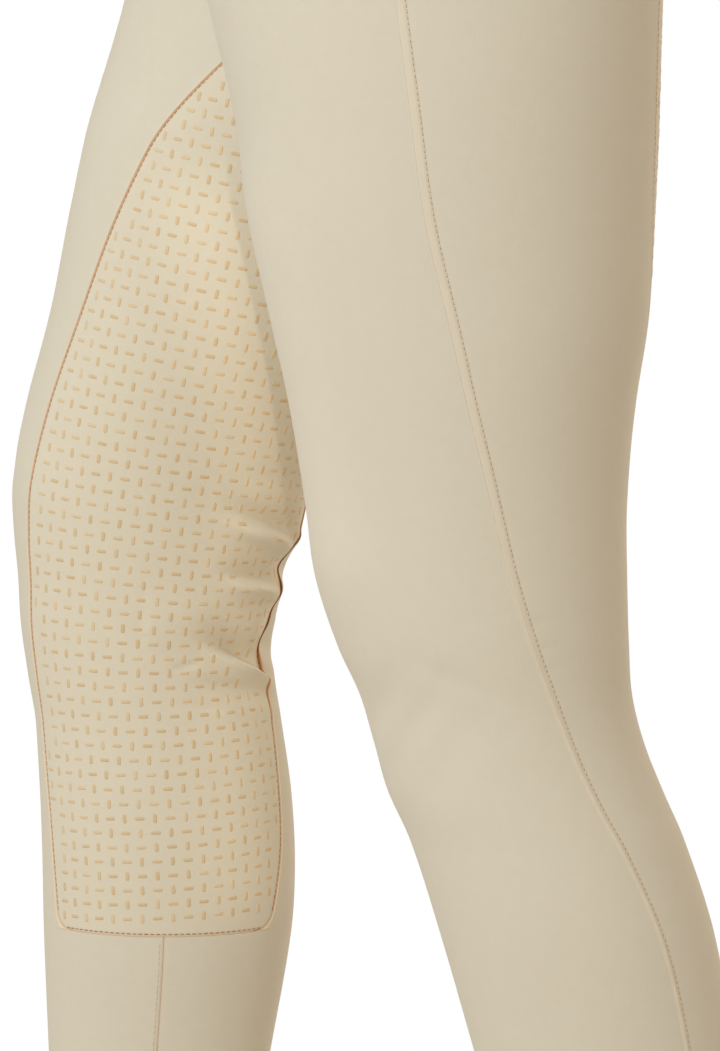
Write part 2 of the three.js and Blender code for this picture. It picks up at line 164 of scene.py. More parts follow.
# Seams: the place round the leg at a level
SIDE_SEAM = table(
    "z around",
    (0, 0.492),
    (-120, 0.476),
    (-220, 0.466),
    (-311, 0.471),
    (-372, 0.482),
    (-421, 0.498),
    (-467, 0.519),
    (-528, 0.5475),
    (-569, 0.568),
    (-613, 0.583),
    (-663, 0.6),
    (-760, 0.608),
)
GRIP_FRONT_SEAM = table(
    "z around",
    (-220, 0),
    (-240, 0.03),
    (-270, 0.066),
    (-316, 0.0995),
    (-361, 0.1255),
    (-413, 0.148),
    (-468, 0.16),
    (-517, 0.171),
    (-570, 0.179),
    (-610, 0.185),
    (-650, 0.177),
    (-692, 0.163),
)
GRIP_BACK_SEAM = table(
    "z around",
    (-178, 0.7),
    (-220, 0.7),
    (-311, 0.709),
    (-350, 0.716),
    (-390, 0.732),
    (-450, 0.757),
    (-495, 0.767),
    (-510, 0.77),
    (-522, 0.771),
    (-533, 0.778),
    (-545, 0.77),
    (-556, 0.787),
    (-564, 0.8),
    (-573, 0.799),
    (-584, 0.797),
    (-600, 0.805),
    (-620, 0.813),
    (-655, 0.822),
    (-692, 0.846),
)
SEAT_TOP = -78
SEAT_ARCH_ENDS = -178
SEAT_ARCH_ROUND = 0.68
SEAT_ARCH_WIDTH = 0.3
CORNER = 8
GRIP_FOOT_GAP = 0.02
GRIP_STITCH = 0.9

# Folds: "around" and "level" are the middle of a fold, "slope" how it falls in mm for a whole turn
# round the leg, "reach" how far round it runs to each side, "above" and "below" how far it runs up and
# down from its line, and "depth" how deep a trough it is, or how high a ridge where it is below 0.
FOLD_COLUMNS = "level around slope reach above below depth"
RIGHT_FOLDS = table(
    FOLD_COLUMNS,
    # Troughs at the back of the knee, each long above its line and steep below, and the ridges under them
    (-482, 0.85, 60, 0.08, 6, 5, 0.9),
    (-502.5, 0.85, 130, 0.09, 6.5, 3.2, 4.6),
    (-508, 0.855, 125, 0.09, 3, 4.2, -4.2),
    (-516, 0.845, 110, 0.08, 3.5, 7, 2),
    (-528.5, 0.85, 78, 0.085, 9, 2.4, 4.7),
    (-532.6, 0.85, 78, 0.07, 2, 3.2, -3.2),
    (-541, 0.84, 70, 0.07, 4, 8, 1.7),
    (-564.3, 0.855, 138, 0.095, 10, 2.8, 7.8),
    (-569.6, 0.85, 138, 0.085, 2.3, 3.4, -4),
    (-579, 0.86, 60, 0.11, 4.5, 7, 3.2),
    (-593, 0.84, 90, 0.08, 5, 6, 0.6),
    # Where they cross the outline
    (-511, 0.772, 100, 0.055, 3, 4, -1.3),
    (-527, 0.768, 60, 0.08, 9, 6, 5),
    (-546, 0.77, 0, 0.06, 6, 6, 2.6),
    (-562, 0.775, 60, 0.075, 11, 7, 5.6),
    # A soft swell beside them, with two short creases
    (-545, 0.962, 0, 0.075, 13, 12, -1.6),
    (-566.5, 0.948, -60, 0.028, 2, 1.5, 0.8),
    (-586, 0.925, 80, 0.04, 2.6, 2, 0.8),
    # Over the front of the knee and the shin
    (-470, 0.3, 160, 0.14, 9, 9, 0.5),
    (-575, 0.36, -190, 0.13, 9, 9, 0.8),
    (-612, 0.3, -240, 0.12, 10, 10, 0.6),
    # The groin and under the seat
    (-214, 0.16, 420, 0.12, 8, 8, 1.5),
    (-236, 0.14, 360, 0.11, 8, 8, 1.1),
    (-262, 0.1, 300, 0.1, 7, 7, 0.7),
    (-231, 0.86, -150, 0.12, 9, 9, 1.3),
    (-255, 0.82, -190, 0.1, 8, 8, 0.8),
)
LEFT_FOLDS = table(
    FOLD_COLUMNS,
    # Troughs and ridges at the back of the knee
    (-488, 0.86, 70, 0.08, 6, 4, 0.9),
    (-507, 0.84, 95, 0.09, 8, 3.6, 2.2),
    (-513, 0.86, 90, 0.07, 3, 7, -1.2),
    (-537, 0.87, 120, 0.1, 12, 3.4, 3.1),
    (-543, 0.87, 120, 0.08, 2.8, 6, -1.5),
    (-556, 0.85, 60, 0.07, 6, 4, 1.0),
    (-571, 0.89, -90, 0.1, 7, 6, 1.4),
    (-592, 0.86, 120, 0.1, 7, 7, 0.8),
    # Soft folds at the side and the front, below the knee
    (-548, 0.46, -150, 0.09, 6, 6, 0.5),
    (-560, 0.34, 260, 0.12, 8, 8, 0.9),
    (-574, 0.37, 300, 0.13, 7, 7, 0.8),
    (-590, 0.4, 320, 0.12, 9, 9, 0.6),
    # Short puckers at the side seam
    (-524, 0.561, 60, 0.035, 2.2, 2.8, 0.16),
    (-534, 0.57, 30, 0.022, 1.6, 2, 0.22),
    (-545, 0.566, 70, 0.04, 2.6, 3, 0.14),
    # The groin and under the seat
    (-206, 0.17, 380, 0.12, 8, 8, 1.2),
    (-226, 0.13, 340, 0.1, 7, 7, 0.9),
    (-232, 0.84, -230, 0.13, 9, 9, 1.6),
    (-251, 0.86, -180, 0.12, 8, 8, 1.2),
    (-276, 0.83, -140, 0.1, 9, 9, 0.7),
)

# Rows of the grip's bars: how far a row falls towards the back, in mm for a mm, at a level
RIGHT_ROW_FALL = table(
    "z fall",
    (-100, 0),
    (-200, 0.03),
    (-300, 0.22),
    (-430, 0.22),
    (-520, 0.1),
    (-600, -0.02),
    (-700, -0.05),
)
LEFT_ROW_FALL = table(
    "z fall",
    (-100, 0),
    (-200, 0),
    (-450, -0.06),
    (-560, -0.16),
    (-650, -0.3),
    (-700, -0.28),
)


class Side:
    """One side of the body: the sign of X, the leg's sections, its folds, bar rows and hem."""

    def __init__(self, hand, sign, leg, folds, row_fall, hem):
        self.hand = hand
        self.sign = sign
        self.leg = leg
        self.folds = folds
        self.row_fall = row_fall
        self.hem = hem


LEFT = Side("left", 1, LEFT_LEG, LEFT_FOLDS, LEFT_ROW_FALL, -874)
RIGHT = Side("right", -1, RIGHT_LEG, RIGHT_FOLDS, RIGHT_ROW_FALL, -890)
SIDES = (LEFT, RIGHT)

# Closure at the front: the tab laps left, with the button on it
TAB_LAP = 38
TAB_LIFT = BAND_CLOTH + SEAM_GAP
TAB_LIFT_STARTS = 0.16
TAB_LIFT_ENDS = 0.06
FLY_LAP = 6
FLY_WIDTH = 34
FLY_CURVE = 32
FLY_STITCH = 4
BUTTON_RADIUS = 8.5
BUTTON_THICK = 3
BUTTON_PLACE = 20

# The raised allowance beside the side seam: its height, and its width at a level
SEAM_BAND_HEIGHT = 0.3
SEAM_BAND = table(
    "z width",
    (-20, 3.9),
    (-440, 3.9),
    (-530, 3.4),
    (-600, 2.5),
    (-700, 2.2),
    (-760, 2.2),
)

# Bars of the grip
BAR_ROW_PITCH = 6.7
BAR_COLUMN_PITCH = 7.1
BAR_GRAIN = 0.97
BAR_ACROSS = (4.7, 1.5)
BAR_DOWN = (4.4, 1.75)
BAR_HEIGHT = 0.11
BAR_MARGIN = 4.6
STEEPEST_BAR = 2.4

# Stitches
STITCH_PITCH = 2.7
STITCH_LENGTH = 2.0
STITCH_WIDTH = 0.5

# The side seam's small stitches, and the dark pads of painted shade in the needle holes between them
SIDE_PITCH = 2.4
SIDE_STITCH = (1.3, 0.5)
NEEDLE_HOLE = (0.95, 0.62)


def at(rows, column, z):
    """A column of a table at the levels z: the cubic curve through its rows whose slope at each row is
    that of the line between the two beside it. It is held level past the ends."""
    levels = rows["z"]
    values = rows[column]
    number = np.arange(len(levels))
    after = np.minimum(number + 1, len(levels) - 1)
    before = np.maximum(number - 1, 0)
    slopes = (values[after] - values[before]) / (levels[after] - levels[before])
    z = np.clip(z, levels[0], levels[-1])
    i = np.clip(np.searchsorted(levels, z) - 1, 0, len(levels) - 2)
    span = levels[i + 1] - levels[i]
    t = (z - levels[i]) / span
    rise = (1 - t) ** 2 * t * span * slopes[i] - t * t * (1 - t) * span * slopes[i + 1]
    return values[i] * (1 + 2 * t) * (1 - t) ** 2 + values[i + 1] * t * t * (3 - 2 * t) + rise


def ease(t):
    """0 below 0, 1 above 1 and a smooth step between."""
    x = np.clip(t, 0, 1)
    return x * x * (3 - 2 * x)


def unit(vectors):
    """Vectors at length 1."""
    return vectors / np.linalg.norm(vectors, axis=-1, keepdims=True)


def torso_section(around, z):
    """The torso's outline at a level: half an oval from the front middle to the back middle, which
    swells by sin squared of twice the angle."""
    front = at(TORSO, "front", z)
    back = at(TORSO, "back", z)
    swell = 1 + at(TORSO, "full", z) * np.sin(2 * pi * around) ** 2
    x = at(TORSO, "width", z) * swell * np.sin(pi * around)
    return x, (front + back) / 2 - (back - front) / 2 * swell * np.cos(pi * around)


def leg_section(leg, around, z):
    """The leg's outline at a level: an ellipse through its four reaches. Near the crotch its inmost
    point is drawn to the middle by the fourth power of a cosine."""
    front = at(leg, "front", z)
    back = at(leg, "back", z)
    inner = at(LEG_WIDTHS, "inner", z)
    outer = at(LEG_WIDTHS, "outer", z)
    middle = (front + back) / 2
    drawn = ease((z - CROTCH_EASE_ENDS) / (CROTCH - CROTCH_EASE_ENDS))
    x = (inner + outer) / 2 - (outer - inner) / 2 * np.cos(2 * pi * around)
    y = middle - (back - front) / 2 * np.sin(2 * pi * around)
    return x, y - middle * drawn * np.cos(pi * around) ** 4


def smooth_skin(side, around, height):
    """The skin of the left side without its folds. Below the crotch it is the leg's outline. Above, each
    row arches over the crotch on a quarter of an ellipse at the middle, and its outline passes from
    the leg's to the torso's, sooner at the middle than at the outside."""
    around, height = np.broadcast_arrays(np.asarray(around, float), np.asarray(height, float))
    up = np.maximum(height, CROTCH)
    towards = np.cos(pi * around) ** 2
    angle = pi / 2 * np.minimum((up - CROTCH) / CROTCH_ZONE, 1) ** CROTCH_EASE
    at_side = ease((up - CROTCH) / HIP_ZONE)
    as_leg = 1 - at_side - (np.sin(angle) - at_side) * towards**3
    lowest = CROTCH + np.where(around < 0.5, FRONT_CURVE, BACK_CURVE)
    zone_top = CROTCH + CROTCH_ZONE
    curved = CROTCH + (lowest - CROTCH) * (1 - np.cos(angle))
    middle = np.where(up >= zone_top, lowest * up / zone_top, curved)
    z = np.where(height > CROTCH, up + (middle - up) * towards, height)
    leg_x, leg_y = leg_section(side.leg, around, z)
    torso_x, torso_y = torso_section(around, z)
    x = torso_x + (leg_x - torso_x) * as_leg
    y = torso_y + (leg_y - torso_y) * as_leg
    rise = ease((up - BACK_RISE_ENDS) / (BAND_FOOT - BACK_RISE_ENDS))
    tilt = BACK_RISE * rise * (1 - np.cos(pi * around)) / 2
    return np.stack([x + SEAM_OPEN / 2, y, z + tilt], axis=-1)


def spans(side, around, height):
    """How the smooth skin runs at a place: its change for a turn round and for a mm up. Above the
    crotch the differences stay between the front and the back middle."""
    step = 0.004
    rise = 1.5
    closed = np.asarray(height) <= CROTCH
    low = np.where(closed, around - step, np.maximum(around - step, 0))
    high = np.where(closed, around + step, np.minimum(around + step, 1))
    across = smooth_skin(side, high, height) - smooth_skin(side, low, height)
    across = across / (high - low)[..., None]
    up = smooth_skin(side, around, height + rise) - smooth_skin(side, around, height - rise)
    return across, up / (2 * rise)


def fold_depth(side, around, height):
    """How far the folds bend the skin in: each is a bell across its line, of one width above it and another
    below, and a squared cosine along."""
    turn = around - np.floor(around)
    depth = 0
    columns = FOLD_COLUMNS.split()
    for level, middle, slope, reach, above, below, deep in zip(*(side.folds[name] for name in columns)):
        off = turn - middle
        along = np.cos(np.clip(off / reach, -1, 1) * pi / 2) ** 2
        rise = height - level - slope * off
        depth = depth + deep * along * np.exp(-((rise / np.where(rise > 0, above, below)) ** 2))
    return depth


def skin(side, around, height, out=0.0):
    """The skin with its folds, moved out by some mm. The right side is the mirror image."""
    around, height = np.broadcast_arrays(np.asarray(around, float), np.asarray(height, float))
    across, up = spans(side, around, height)
    move = out - fold_depth(side, around, height)
    point = smooth_skin(side, around, height) + unit(np.cross(across, up)) * move[..., None]
    point[..., 0] = np.maximum(point[..., 0], SEAM_OPEN / 2) * side.sign
    return point


def stride(side, around, height):
    """The length in mm of a whole turn at the pace of one place."""
    step = 0.01
    closed = np.asarray(height) <= CROTCH
    low = np.where(closed, around, np.minimum(around, 1 - step))
    moved = smooth_skin(side, low + step, height) - smooth_skin(side, low, height)
    return np.linalg.norm(moved, axis=-1) / step


def corner_inset(height):
    """How far a seam is drawn in at the grip's rounded lower corners: a quarter circle."""
    above = np.clip(height - GRIP_FOOT, 0, CORNER)
    return CORNER - np.sqrt(CORNER**2 - (CORNER - above) ** 2)


def side_seam(side, height):
    return at(SIDE_SEAM, "around", height)


def grip_front(side, height):
    around = at(GRIP_FRONT_SEAM, "around", height)
    return around - corner_inset(height) / stride(side, around, height)


def grip_back(side, height):
    """The grip's back seam: its table below the seat, and an arch up to the back middle over it."""
    around = at(GRIP_BACK_SEAM, "around", height)
    below = around + corner_inset(height) / stride(side, around, height)
    share = np.clip((height - SEAT_TOP) / (SEAT_ARCH_ENDS - SEAT_TOP), 0, 1)
    arch = 1 - SEAT_ARCH_WIDTH * (1 - (1 - share) ** 2) ** SEAT_ARCH_ROUND
    return np.where(height > SEAT_ARCH_ENDS, arch, below)


def lean(side, seam, height):
    """How far a seam runs across for each mm that it runs down."""
    step = 0.5
    change = np.abs(seam(side, height + step) - seam(side, height - step))
    return change * stride(side, seam(side, height), height) / (2 * step)


def half_gap(side, seam, height):
    """Half of what a sewn seam stays open, taken along the row, as a part of a turn."""
    widest = 5
    slant = np.minimum(np.hypot(1, lean(side, seam, height)), widest)
    return SEAM_OPEN / 2 * slant / stride(side, seam(side, height), height)


def seam_distance(side, seam, around, height):
    """The distance in mm from a seam, above 0 towards greater places round the leg: the way along the
    row, shortened by the seam's lean."""
    off = around - seam(side, height)
    off = np.where(height <= CROTCH, off - np.round(off), off)
    return off * stride(side, around, height) / np.hypot(1, lean(side, seam, height))


def bell(distance, width):
    return np.exp(-((distance / width) ** 2))


def side_profile(distance, height):
    """How the cloth stands off beside the side seam: the allowance as a flat band with soft edges, a thin
    roll along the seam below the knee, and a groove along the topstitch."""
    width = at(SEAM_BAND, "width", height)
    band = ease(distance / 1.8 + 0.5) * ease((width + 0.5 - distance) / 1.4)
    roll = 0.22 * below_knee(height) * bell(distance - 0.3, 0.55)
    return SEAM_BAND_HEIGHT * band + roll - 0.12 * bell(distance - width - 0.2, 0.6)


def below_knee(height):
    """0 above the knee and 1 below it."""
    return ease((KNEE_TOP - height) / KNEE_ZONE)


def knee_pull(height):
    """How hard the creases pull the grip's seam in at a level: a bell about the back of the knee."""
    return bell(height - KNEE_BACK, KNEE_PULL_REACH)


def grip_profile(inwards, height):
    """How the cloth stands off beside the grip's seam, by the distance into the grip: a rolled rim outside
    it and a ditch that holds the topstitch, which widens and sinks at the back of the knee."""
    pull = knee_pull(height)
    ditch = (0.34 + 0.5 * pull) * bell(inwards - 0.5, 0.6 + 0.5 * pull)
    return 0.26 * bell(inwards + 0.7, 0.6) - ditch


def plain_profile(distance):
    """How the cloth stands off beside a plain seam: a narrow ditch."""
    return -0.4 * bell(distance, 0.6)


def seams_at(side, around, height):
    """What the seams do to the cloth at a place: how far it stands off, how much painted shade its ditch
    gets, from 0 to 2, and how much painted highlight a raised rim or band gets, from 0 to 1."""
    beside = seam_distance(side, side_seam, around, height)
    width = at(SEAM_BAND, "width", height)
    off = side_profile(beside, height)
    low = below_knee(height)
    # Painted shade in the groove along the side seam's topstitch, and just beyond its roll below the knee
    painted_shade = 0.1 * bell(beside - width - 0.2, 0.6) + 0.12 * low * bell(beside - 1.7, 0.8)
    # Painted highlight on the raised allowance above the knee and on the thin roll below it
    band = ease(beside / 2 + 0.4) * ease((width + 0.2 - beside) / 1.8)
    painted_highlight = 0.16 * (1 - low) * band + 0.42 * low * bell(beside - 0.3, 0.5)
    on_grip = (height > GRIP_FOOT) & (height < SEAT_TOP)
    lower = ease((-450 - height) / 110)
    for seam, sign, top in ((grip_front, -1, CROTCH), (grip_back, 1, SEAT_TOP)):
        inwards = sign * seam_distance(side, seam, around, height)
        here = on_grip & (height < top)
        pull = knee_pull(height) if sign > 0 else 0 * height
        off = off + np.where(here, grip_profile(inwards, height if sign > 0 else 0 * height), 0)
        # Painted shade in the grip seam's ditch, darker and wider where the knee's creases pull the seam
        # in, and painted highlight on the rolled rim outside it
        soft = 1 - 0.5 * ease((-572 - height) / 40)
        ditch = (soft + 1.7 * pull) * bell(inwards - 0.4 - 0.2 * pull, 0.62 + 2 * pull)
        painted_shade = painted_shade + np.where(here, ditch, 0)
        painted_highlight = painted_highlight + np.where(here, (0.3 + 0.7 * lower) * (1 - 0.6 * pull) * bell(inwards + 0.75, 0.6), 0)
    turn = around - np.floor(around)
    outside_foot = (turn > grip_front(side, height)) & (turn < grip_back(side, height))
    foot = np.where(outside_foot, 99, np.abs(height - GRIP_FOOT))
    middle = stride(side, around, height) * np.minimum(np.abs(turn), np.abs(1 - turn))
    middle = np.where((height > CROTCH) | (height < GRIP_FOOT), middle, 99)
    level = np.minimum(np.abs(height - CUFF_TOP), np.abs(height - BAND_FOOT))
    # Painted shade in the ditches at the grip's foot, the middle seam and the joins of the cuff and the
    # waistband
    for distance, deep in ((foot, 0.6), (middle, 0.7), (level, 1)):
        off = off + deep * plain_profile(distance)
        painted_shade = painted_shade + 0.5 * deep * bell(distance, 0.7)
    return off, np.clip(painted_shade, 0, 2), np.clip(painted_highlight, 0, 1)


def new_object(name, points, faces, material, uv=None, marks=None):
    """A mesh object from points in mm and arrays of faces, one array for each number of corners. uv has a
    pair for each corner, and marks has a value for each point under each name."""
    mesh = bpy.data.meshes.new(name)
    corners = np.concatenate([block.ravel() for block in faces])
    sizes = np.concatenate([np.full(len(block), block.shape[1]) for block in faces])
    mesh.vertices.add(len(points))
    mesh.vertices.foreach_set("co", (points * MM).astype(np.float32).ravel())
    mesh.loops.add(len(corners))
    mesh.loops.foreach_set("vertex_index", corners.astype(np.int32))
    mesh.polygons.add(len(sizes))
    mesh.polygons.foreach_set("loop_start", (np.cumsum(sizes) - sizes).astype(np.int32))
    mesh.update(calc_edges=True)
    if uv is not None:
        layer = mesh.uv_layers.new(name="UVMap")
        layer.data.foreach_set("uv", uv.astype(np.float32).ravel())
    for mark, values in (marks or {}).items():
        attribute = mesh.attributes.new(mark, "FLOAT", "POINT")
        attribute.data.foreach_set("value", values.astype(np.float32).ravel())
    mesh.validate()
    mesh.shade_smooth()
    mesh.materials.append(material)
    item = bpy.data.objects.new(name, mesh)
    bpy.context.scene.collection.objects.link(item)
    return item


def wall(name, outer, inner, uv, material, mirrored, has=None, ring=False, marks=None):
    """A closed wall from a grid of outer and inner points. Cells that "has" leaves out are missing, each
    free edge is closed by a rim, and a ring's last column joins its first. uv has a pair for each
    place of the grid, with one more column on a ring."""
    rows, columns = outer.shape[:2]
    count = rows * columns
    number = np.arange(count).reshape(rows, columns)
    if ring:
        number = np.hstack([number, number[:, :1]])
    cells = np.ones((rows - 1, number.shape[1] - 1), bool) if has is None else has
    padded = np.pad(cells, 1)
    if ring:
        padded[:, 0] = padded[:, -2]
        padded[:, -1] = padded[:, 1]
    beside = padded[2:, 1:-1], padded[1:-1, 2:], padded[:-2, 1:-1], padded[1:-1, :-2]

    def corners_of(grid):
        return grid[1:, :-1], grid[1:, 1:], grid[:-1, 1:], grid[:-1, :-1]

    places = corners_of(number)
    maps = corners_of(uv)
    quads = [np.stack(places, -1)[cells], np.stack(places[::-1], -1)[cells] + count]
    pairs = [np.stack(maps, -2)[cells], np.stack(maps[::-1], -2)[cells]]
    for k in range(4):
        edge = cells & ~beside[k]
        p, q = places[k][edge], places[(k + 1) % 4][edge]
        quads.append(np.stack([q, p, p + count, q + count], -1))
        p, q = maps[k][edge], maps[(k + 1) % 4][edge]
        pairs.append(np.stack([q, p, p, q], -2))
    faces = np.concatenate(quads)
    pairs = np.concatenate(pairs)
    if mirrored:
        faces = faces[:, ::-1]
        pairs = pairs[:, ::-1]
    points = np.concatenate([outer.reshape(-1, 3), inner.reshape(-1, 3)])
    used, faces = np.unique(faces, return_inverse=True)
    both = {mark: np.concatenate([v.ravel(), 0 * v.ravel()])[used] for mark, v in (marks or {}).items()}
    return new_object(name, points[used], [faces.reshape(-1, 4)], material, pairs, both)


# Distances in mm from a seam at which a panel has its columns, before they are evenly spaced
SEAM_COLUMNS = np.array([0, 0.22, 0.5, 0.8, 1.15, 1.5, 1.9, 2.4, 2.9, 3.4, 3.8, 4.2, 4.7, 5.5, 8])
FEW_COLUMNS = np.array([0, 0.3, 0.7, 1.2, 2, 4])


def row_places(side, start, end, height, count, near, far):
    """Places along each row from start to end, by length along the row: at the distances "near" from the
    start, "far" from the end, and "count" more evenly spaced between. Narrow rows shrink them all."""
    share = np.linspace(0, 1, 161)
    around = start[:, None] + (end - start)[:, None] * share
    step = np.linalg.norm(np.diff(smooth_skin(side, around, height[:, None]), axis=1), axis=-1)
    run = np.hstack([np.zeros((len(height), 1)), np.cumsum(step, axis=1)])
    width = run[:, -1:]
    shrink = np.minimum(1, width / (1.5 * (near[-1] + far[-1])))
    left = near * shrink
    right = width - far[::-1] * shrink
    middle = left[:, -1:] + (right[:, :1] - left[:, -1:]) * np.linspace(0, 1, count + 2)[1:-1]
    distance = np.hstack([left, middle, right])
    return np.array([np.interp(*row) for row in zip(distance, run, around)])


def levels(*stretches):
    """Levels from the top down: for each stretch its first level, its last and about the step between."""
    parts = []
    for first, last, step in stretches:
        count = max(1, round(abs(last - first) / step))
        parts.append(first + (last - first) * np.arange(count) / count)
    return np.concatenate(parts + [[stretches[-1][1]]])


# The rows of the panels, closer where the seat's arch begins, at the knee and at the grip's corners
ARCH_SHARES = np.linspace(0.055, 1, 26) ** 2
ARCH_LEVELS = SEAT_TOP + (SEAT_ARCH_ENDS - SEAT_TOP) * ARCH_SHARES
CORNER_LEVELS = GRIP_FOOT + CORNER * (1 - np.sin(np.radians([0, 10, 20, 30, 40, 50, 60, 70, 80])))
PANEL_LEVELS = np.concatenate([
    levels((BAND_FOOT - SEAM_OPEN / 2, BAND_FOOT - 2, 0.5), (BAND_FOOT - 2, SEAT_TOP, 5)),
    ARCH_LEVELS,
    levels((SEAT_ARCH_ENDS, CROTCH, 3), (CROTCH, -262, 2.6), (-262, -474, 4.6), (-474, -600, 1))[1:],
    levels((-600, CORNER_LEVELS[0], 4.6))[1:-1],
    CORNER_LEVELS,
    [GRIP_FOOT - GRIP_FOOT_GAP],
    levels((GRIP_FOOT - 0.6, GRIP_FOOT - 2, 0.5), (GRIP_FOOT - 2, CUFF_TOP + 2, 5)),
    levels((CUFF_TOP + 1.5, CUFF_TOP + SEAM_OPEN / 2, 0.4)),
])


def grid_map(side, around, height):
    """A flat map of a panel in metres: across by the length from the front of the row, down by height."""
    points = smooth_skin(side, around, height)
    step = np.linalg.norm(np.diff(points, axis=1), axis=-1)
    across = np.hstack([np.zeros((len(points), 1)), np.cumsum(step, axis=1)])
    across = across - across.mean(axis=1, keepdims=True)
    down = np.broadcast_to(height, across.shape)
    return np.stack([across, down], -1) * MM


def cloth_wall(name, side, around, height, material, has=None):
    """A panel: a closed wall on the skin, raised and sunk outside by its seams and plain inside."""
    height = height[:, None]
    off, painted_shade, painted_highlight = seams_at(side, around, height)
    outer = skin(side, around, height, off)
    inner = skin(side, around, height, -CLOTH)
    marks = {"painted_shade": painted_shade, "painted_highlight": painted_highlight}
    mapped = grid_map(side, around, height)
    return wall(name, outer, inner, mapped, material, side.sign < 0, has, marks=marks)


def two_stretches(side, height, first, second):
    """Places along rows made of two stretches that share the place between them."""
    a = row_places(side, *first[:2], height, *first[2:])
    b = row_places(side, *second[:2], height, *second[2:])
    return np.hstack([a, b[:, 1:]])


def front_panel(side, material):
    """From the grip's front seam to the side seam, and below the grip from the inseam."""
    height = PANEL_LEVELS
    gap = half_gap(side, grip_front, height) * (height >= GRIP_FOOT)
    seam = grip_front(side, np.maximum(height, GRIP_FOOT)) + gap
    start = np.where(height > CROTCH, 0, seam)
    inseam = SEAM_OPEN / 2 / stride(side, 0 * height, height)
    end = side_seam(side, height) - half_gap(side, side_seam, height)
    own = (inseam, np.maximum(start, inseam + 0.002), 4, FEW_COLUMNS, FEW_COLUMNS)
    around = two_stretches(side, height, own, (start, end, 34, SEAM_COLUMNS[:11], SEAM_COLUMNS[:9]))
    inseam_columns = 4 + 2 * len(FEW_COLUMNS) - 1
    columns = np.arange(around.shape[1] - 1)
    has = (columns >= inseam_columns) | (height[:-1, None] < GRIP_FOOT)
    return cloth_wall(f"front_cloth_{side.hand}", side, around, height, material, has)


def back_panel(side, material):
    """From the side seam to the grip's back seam, and below the grip on to the inseam."""
    height = PANEL_LEVELS
    free = (height < GRIP_FOOT) | (height >= SEAT_TOP)
    seam = grip_back(side, np.maximum(height, GRIP_FOOT))
    end = seam - np.where(free, 0, half_gap(side, grip_back, height))
    start = side_seam(side, height) + half_gap(side, side_seam, height)
    inseam = 1 - SEAM_OPEN / 2 / stride(side, 1 + 0 * height, height)
    own = (start, end, 22, SEAM_COLUMNS, SEAM_COLUMNS[:11])
    further = (np.minimum(end, inseam - 0.002), inseam, 4, FEW_COLUMNS, FEW_COLUMNS)
    around = two_stretches(side, height, own, further)
    own_columns = 22 + len(SEAM_COLUMNS) + 11 - 1
    columns = np.arange(around.shape[1] - 1)
    has = (columns < own_columns) | (height[:-1, None] < GRIP_FOOT)
    return cloth_wall(f"back_cloth_{side.hand}", side, around, height, material, has)


def grip_panel(side, material):
    """Over the seat from its arch to the back middle, and down the inside of the leg."""
    last = GRIP_FOOT + GRIP_FOOT_GAP
    height = np.append(PANEL_LEVELS[(PANEL_LEVELS <= ARCH_LEVELS[0]) & (PANEL_LEVELS > last)], last)
    start = grip_back(side, height) + half_gap(side, grip_back, height)
    end = np.where(height >= CROTCH, 1, 1 + grip_front(side, height) - half_gap(side, grip_front, height))
    around = row_places(side, start, end, height, 62, SEAM_COLUMNS[:12], SEAM_COLUMNS[:12])
    return cloth_wall(f"grip_cloth_{side.hand}", side, around, height, material)


def cuff(side, material):
    """A tube from the panels to the hem, a little thicker where the hem is turned up."""
    height = levels(
        (CUFF_TOP - SEAM_OPEN / 2, CUFF_TOP - 2, 0.5),
        (CUFF_TOP - 2, side.hem + HEM_FOLD + 3, 4),
        (side.hem + HEM_FOLD + 3, side.hem + HEM_FOLD - 3, 0.8),
        (side.hem + HEM_FOLD - 3, side.hem + 1.5, 3),
        (side.hem + 1.5, side.hem, 0.3),
    )[:, None]
    columns = 120
    around = np.linspace(0, 1, columns + 1)
    hem = 0.45 * ease((side.hem + HEM_FOLD - height) / 1.6 + 0.5)
    round_edge = -0.6 * bell(height - side.hem, 0.5)
    hem_ditch = -0.2 * bell(height - side.hem - HEM_FOLD, 0.7)
    off = plain_profile(height - CUFF_TOP) + hem + round_edge + hem_ditch
    # Painted shade in the ditch where the cuff joins the panels
    painted_shade = 0.5 * bell(height - CUFF_TOP, 0.7) + 0 * around
    outer = skin(side, around, height, off + 0 * around)[:, :-1]
    inner = skin(side, around, height, -CLOTH - hem + 0 * around)[:, :-1]
    mapped = grid_map(side, around[None, :] + 0 * height, height)
    marks = {"painted_shade": painted_shade[:, :-1], "painted_highlight": 0 * painted_shade[:, :-1]}
    name = f"cuff_cloth_{side.hand}"
    return wall(name, outer, inner, mapped, material, side.sign < 0, ring=True, marks=marks)


def band_skin(turn, height, out):
    """The waistband's skin. "turn" runs from 0 to 1 round the left side, from 1 to 2 round the right and
    on over the left front as the tab, where the band is lifted over its own end."""
    lift = TAB_LIFT * ease((turn - 2 + TAB_LIFT_STARTS) / (TAB_LIFT_STARTS - TAB_LIFT_ENDS))
    on_right = (turn > 1) & (turn <= 2)
    around = np.where(turn <= 1, turn, np.where(on_right, 2 - turn, turn - 2))
    left = skin(LEFT, around, height, out + np.where(turn > 2, lift, 0))
    right = skin(RIGHT, around, height, out + lift)
    return np.where(on_right[..., None], right, left)


def tab_lap_turn():
    return TAB_LAP / float(stride(LEFT, 0.0, 0.0))


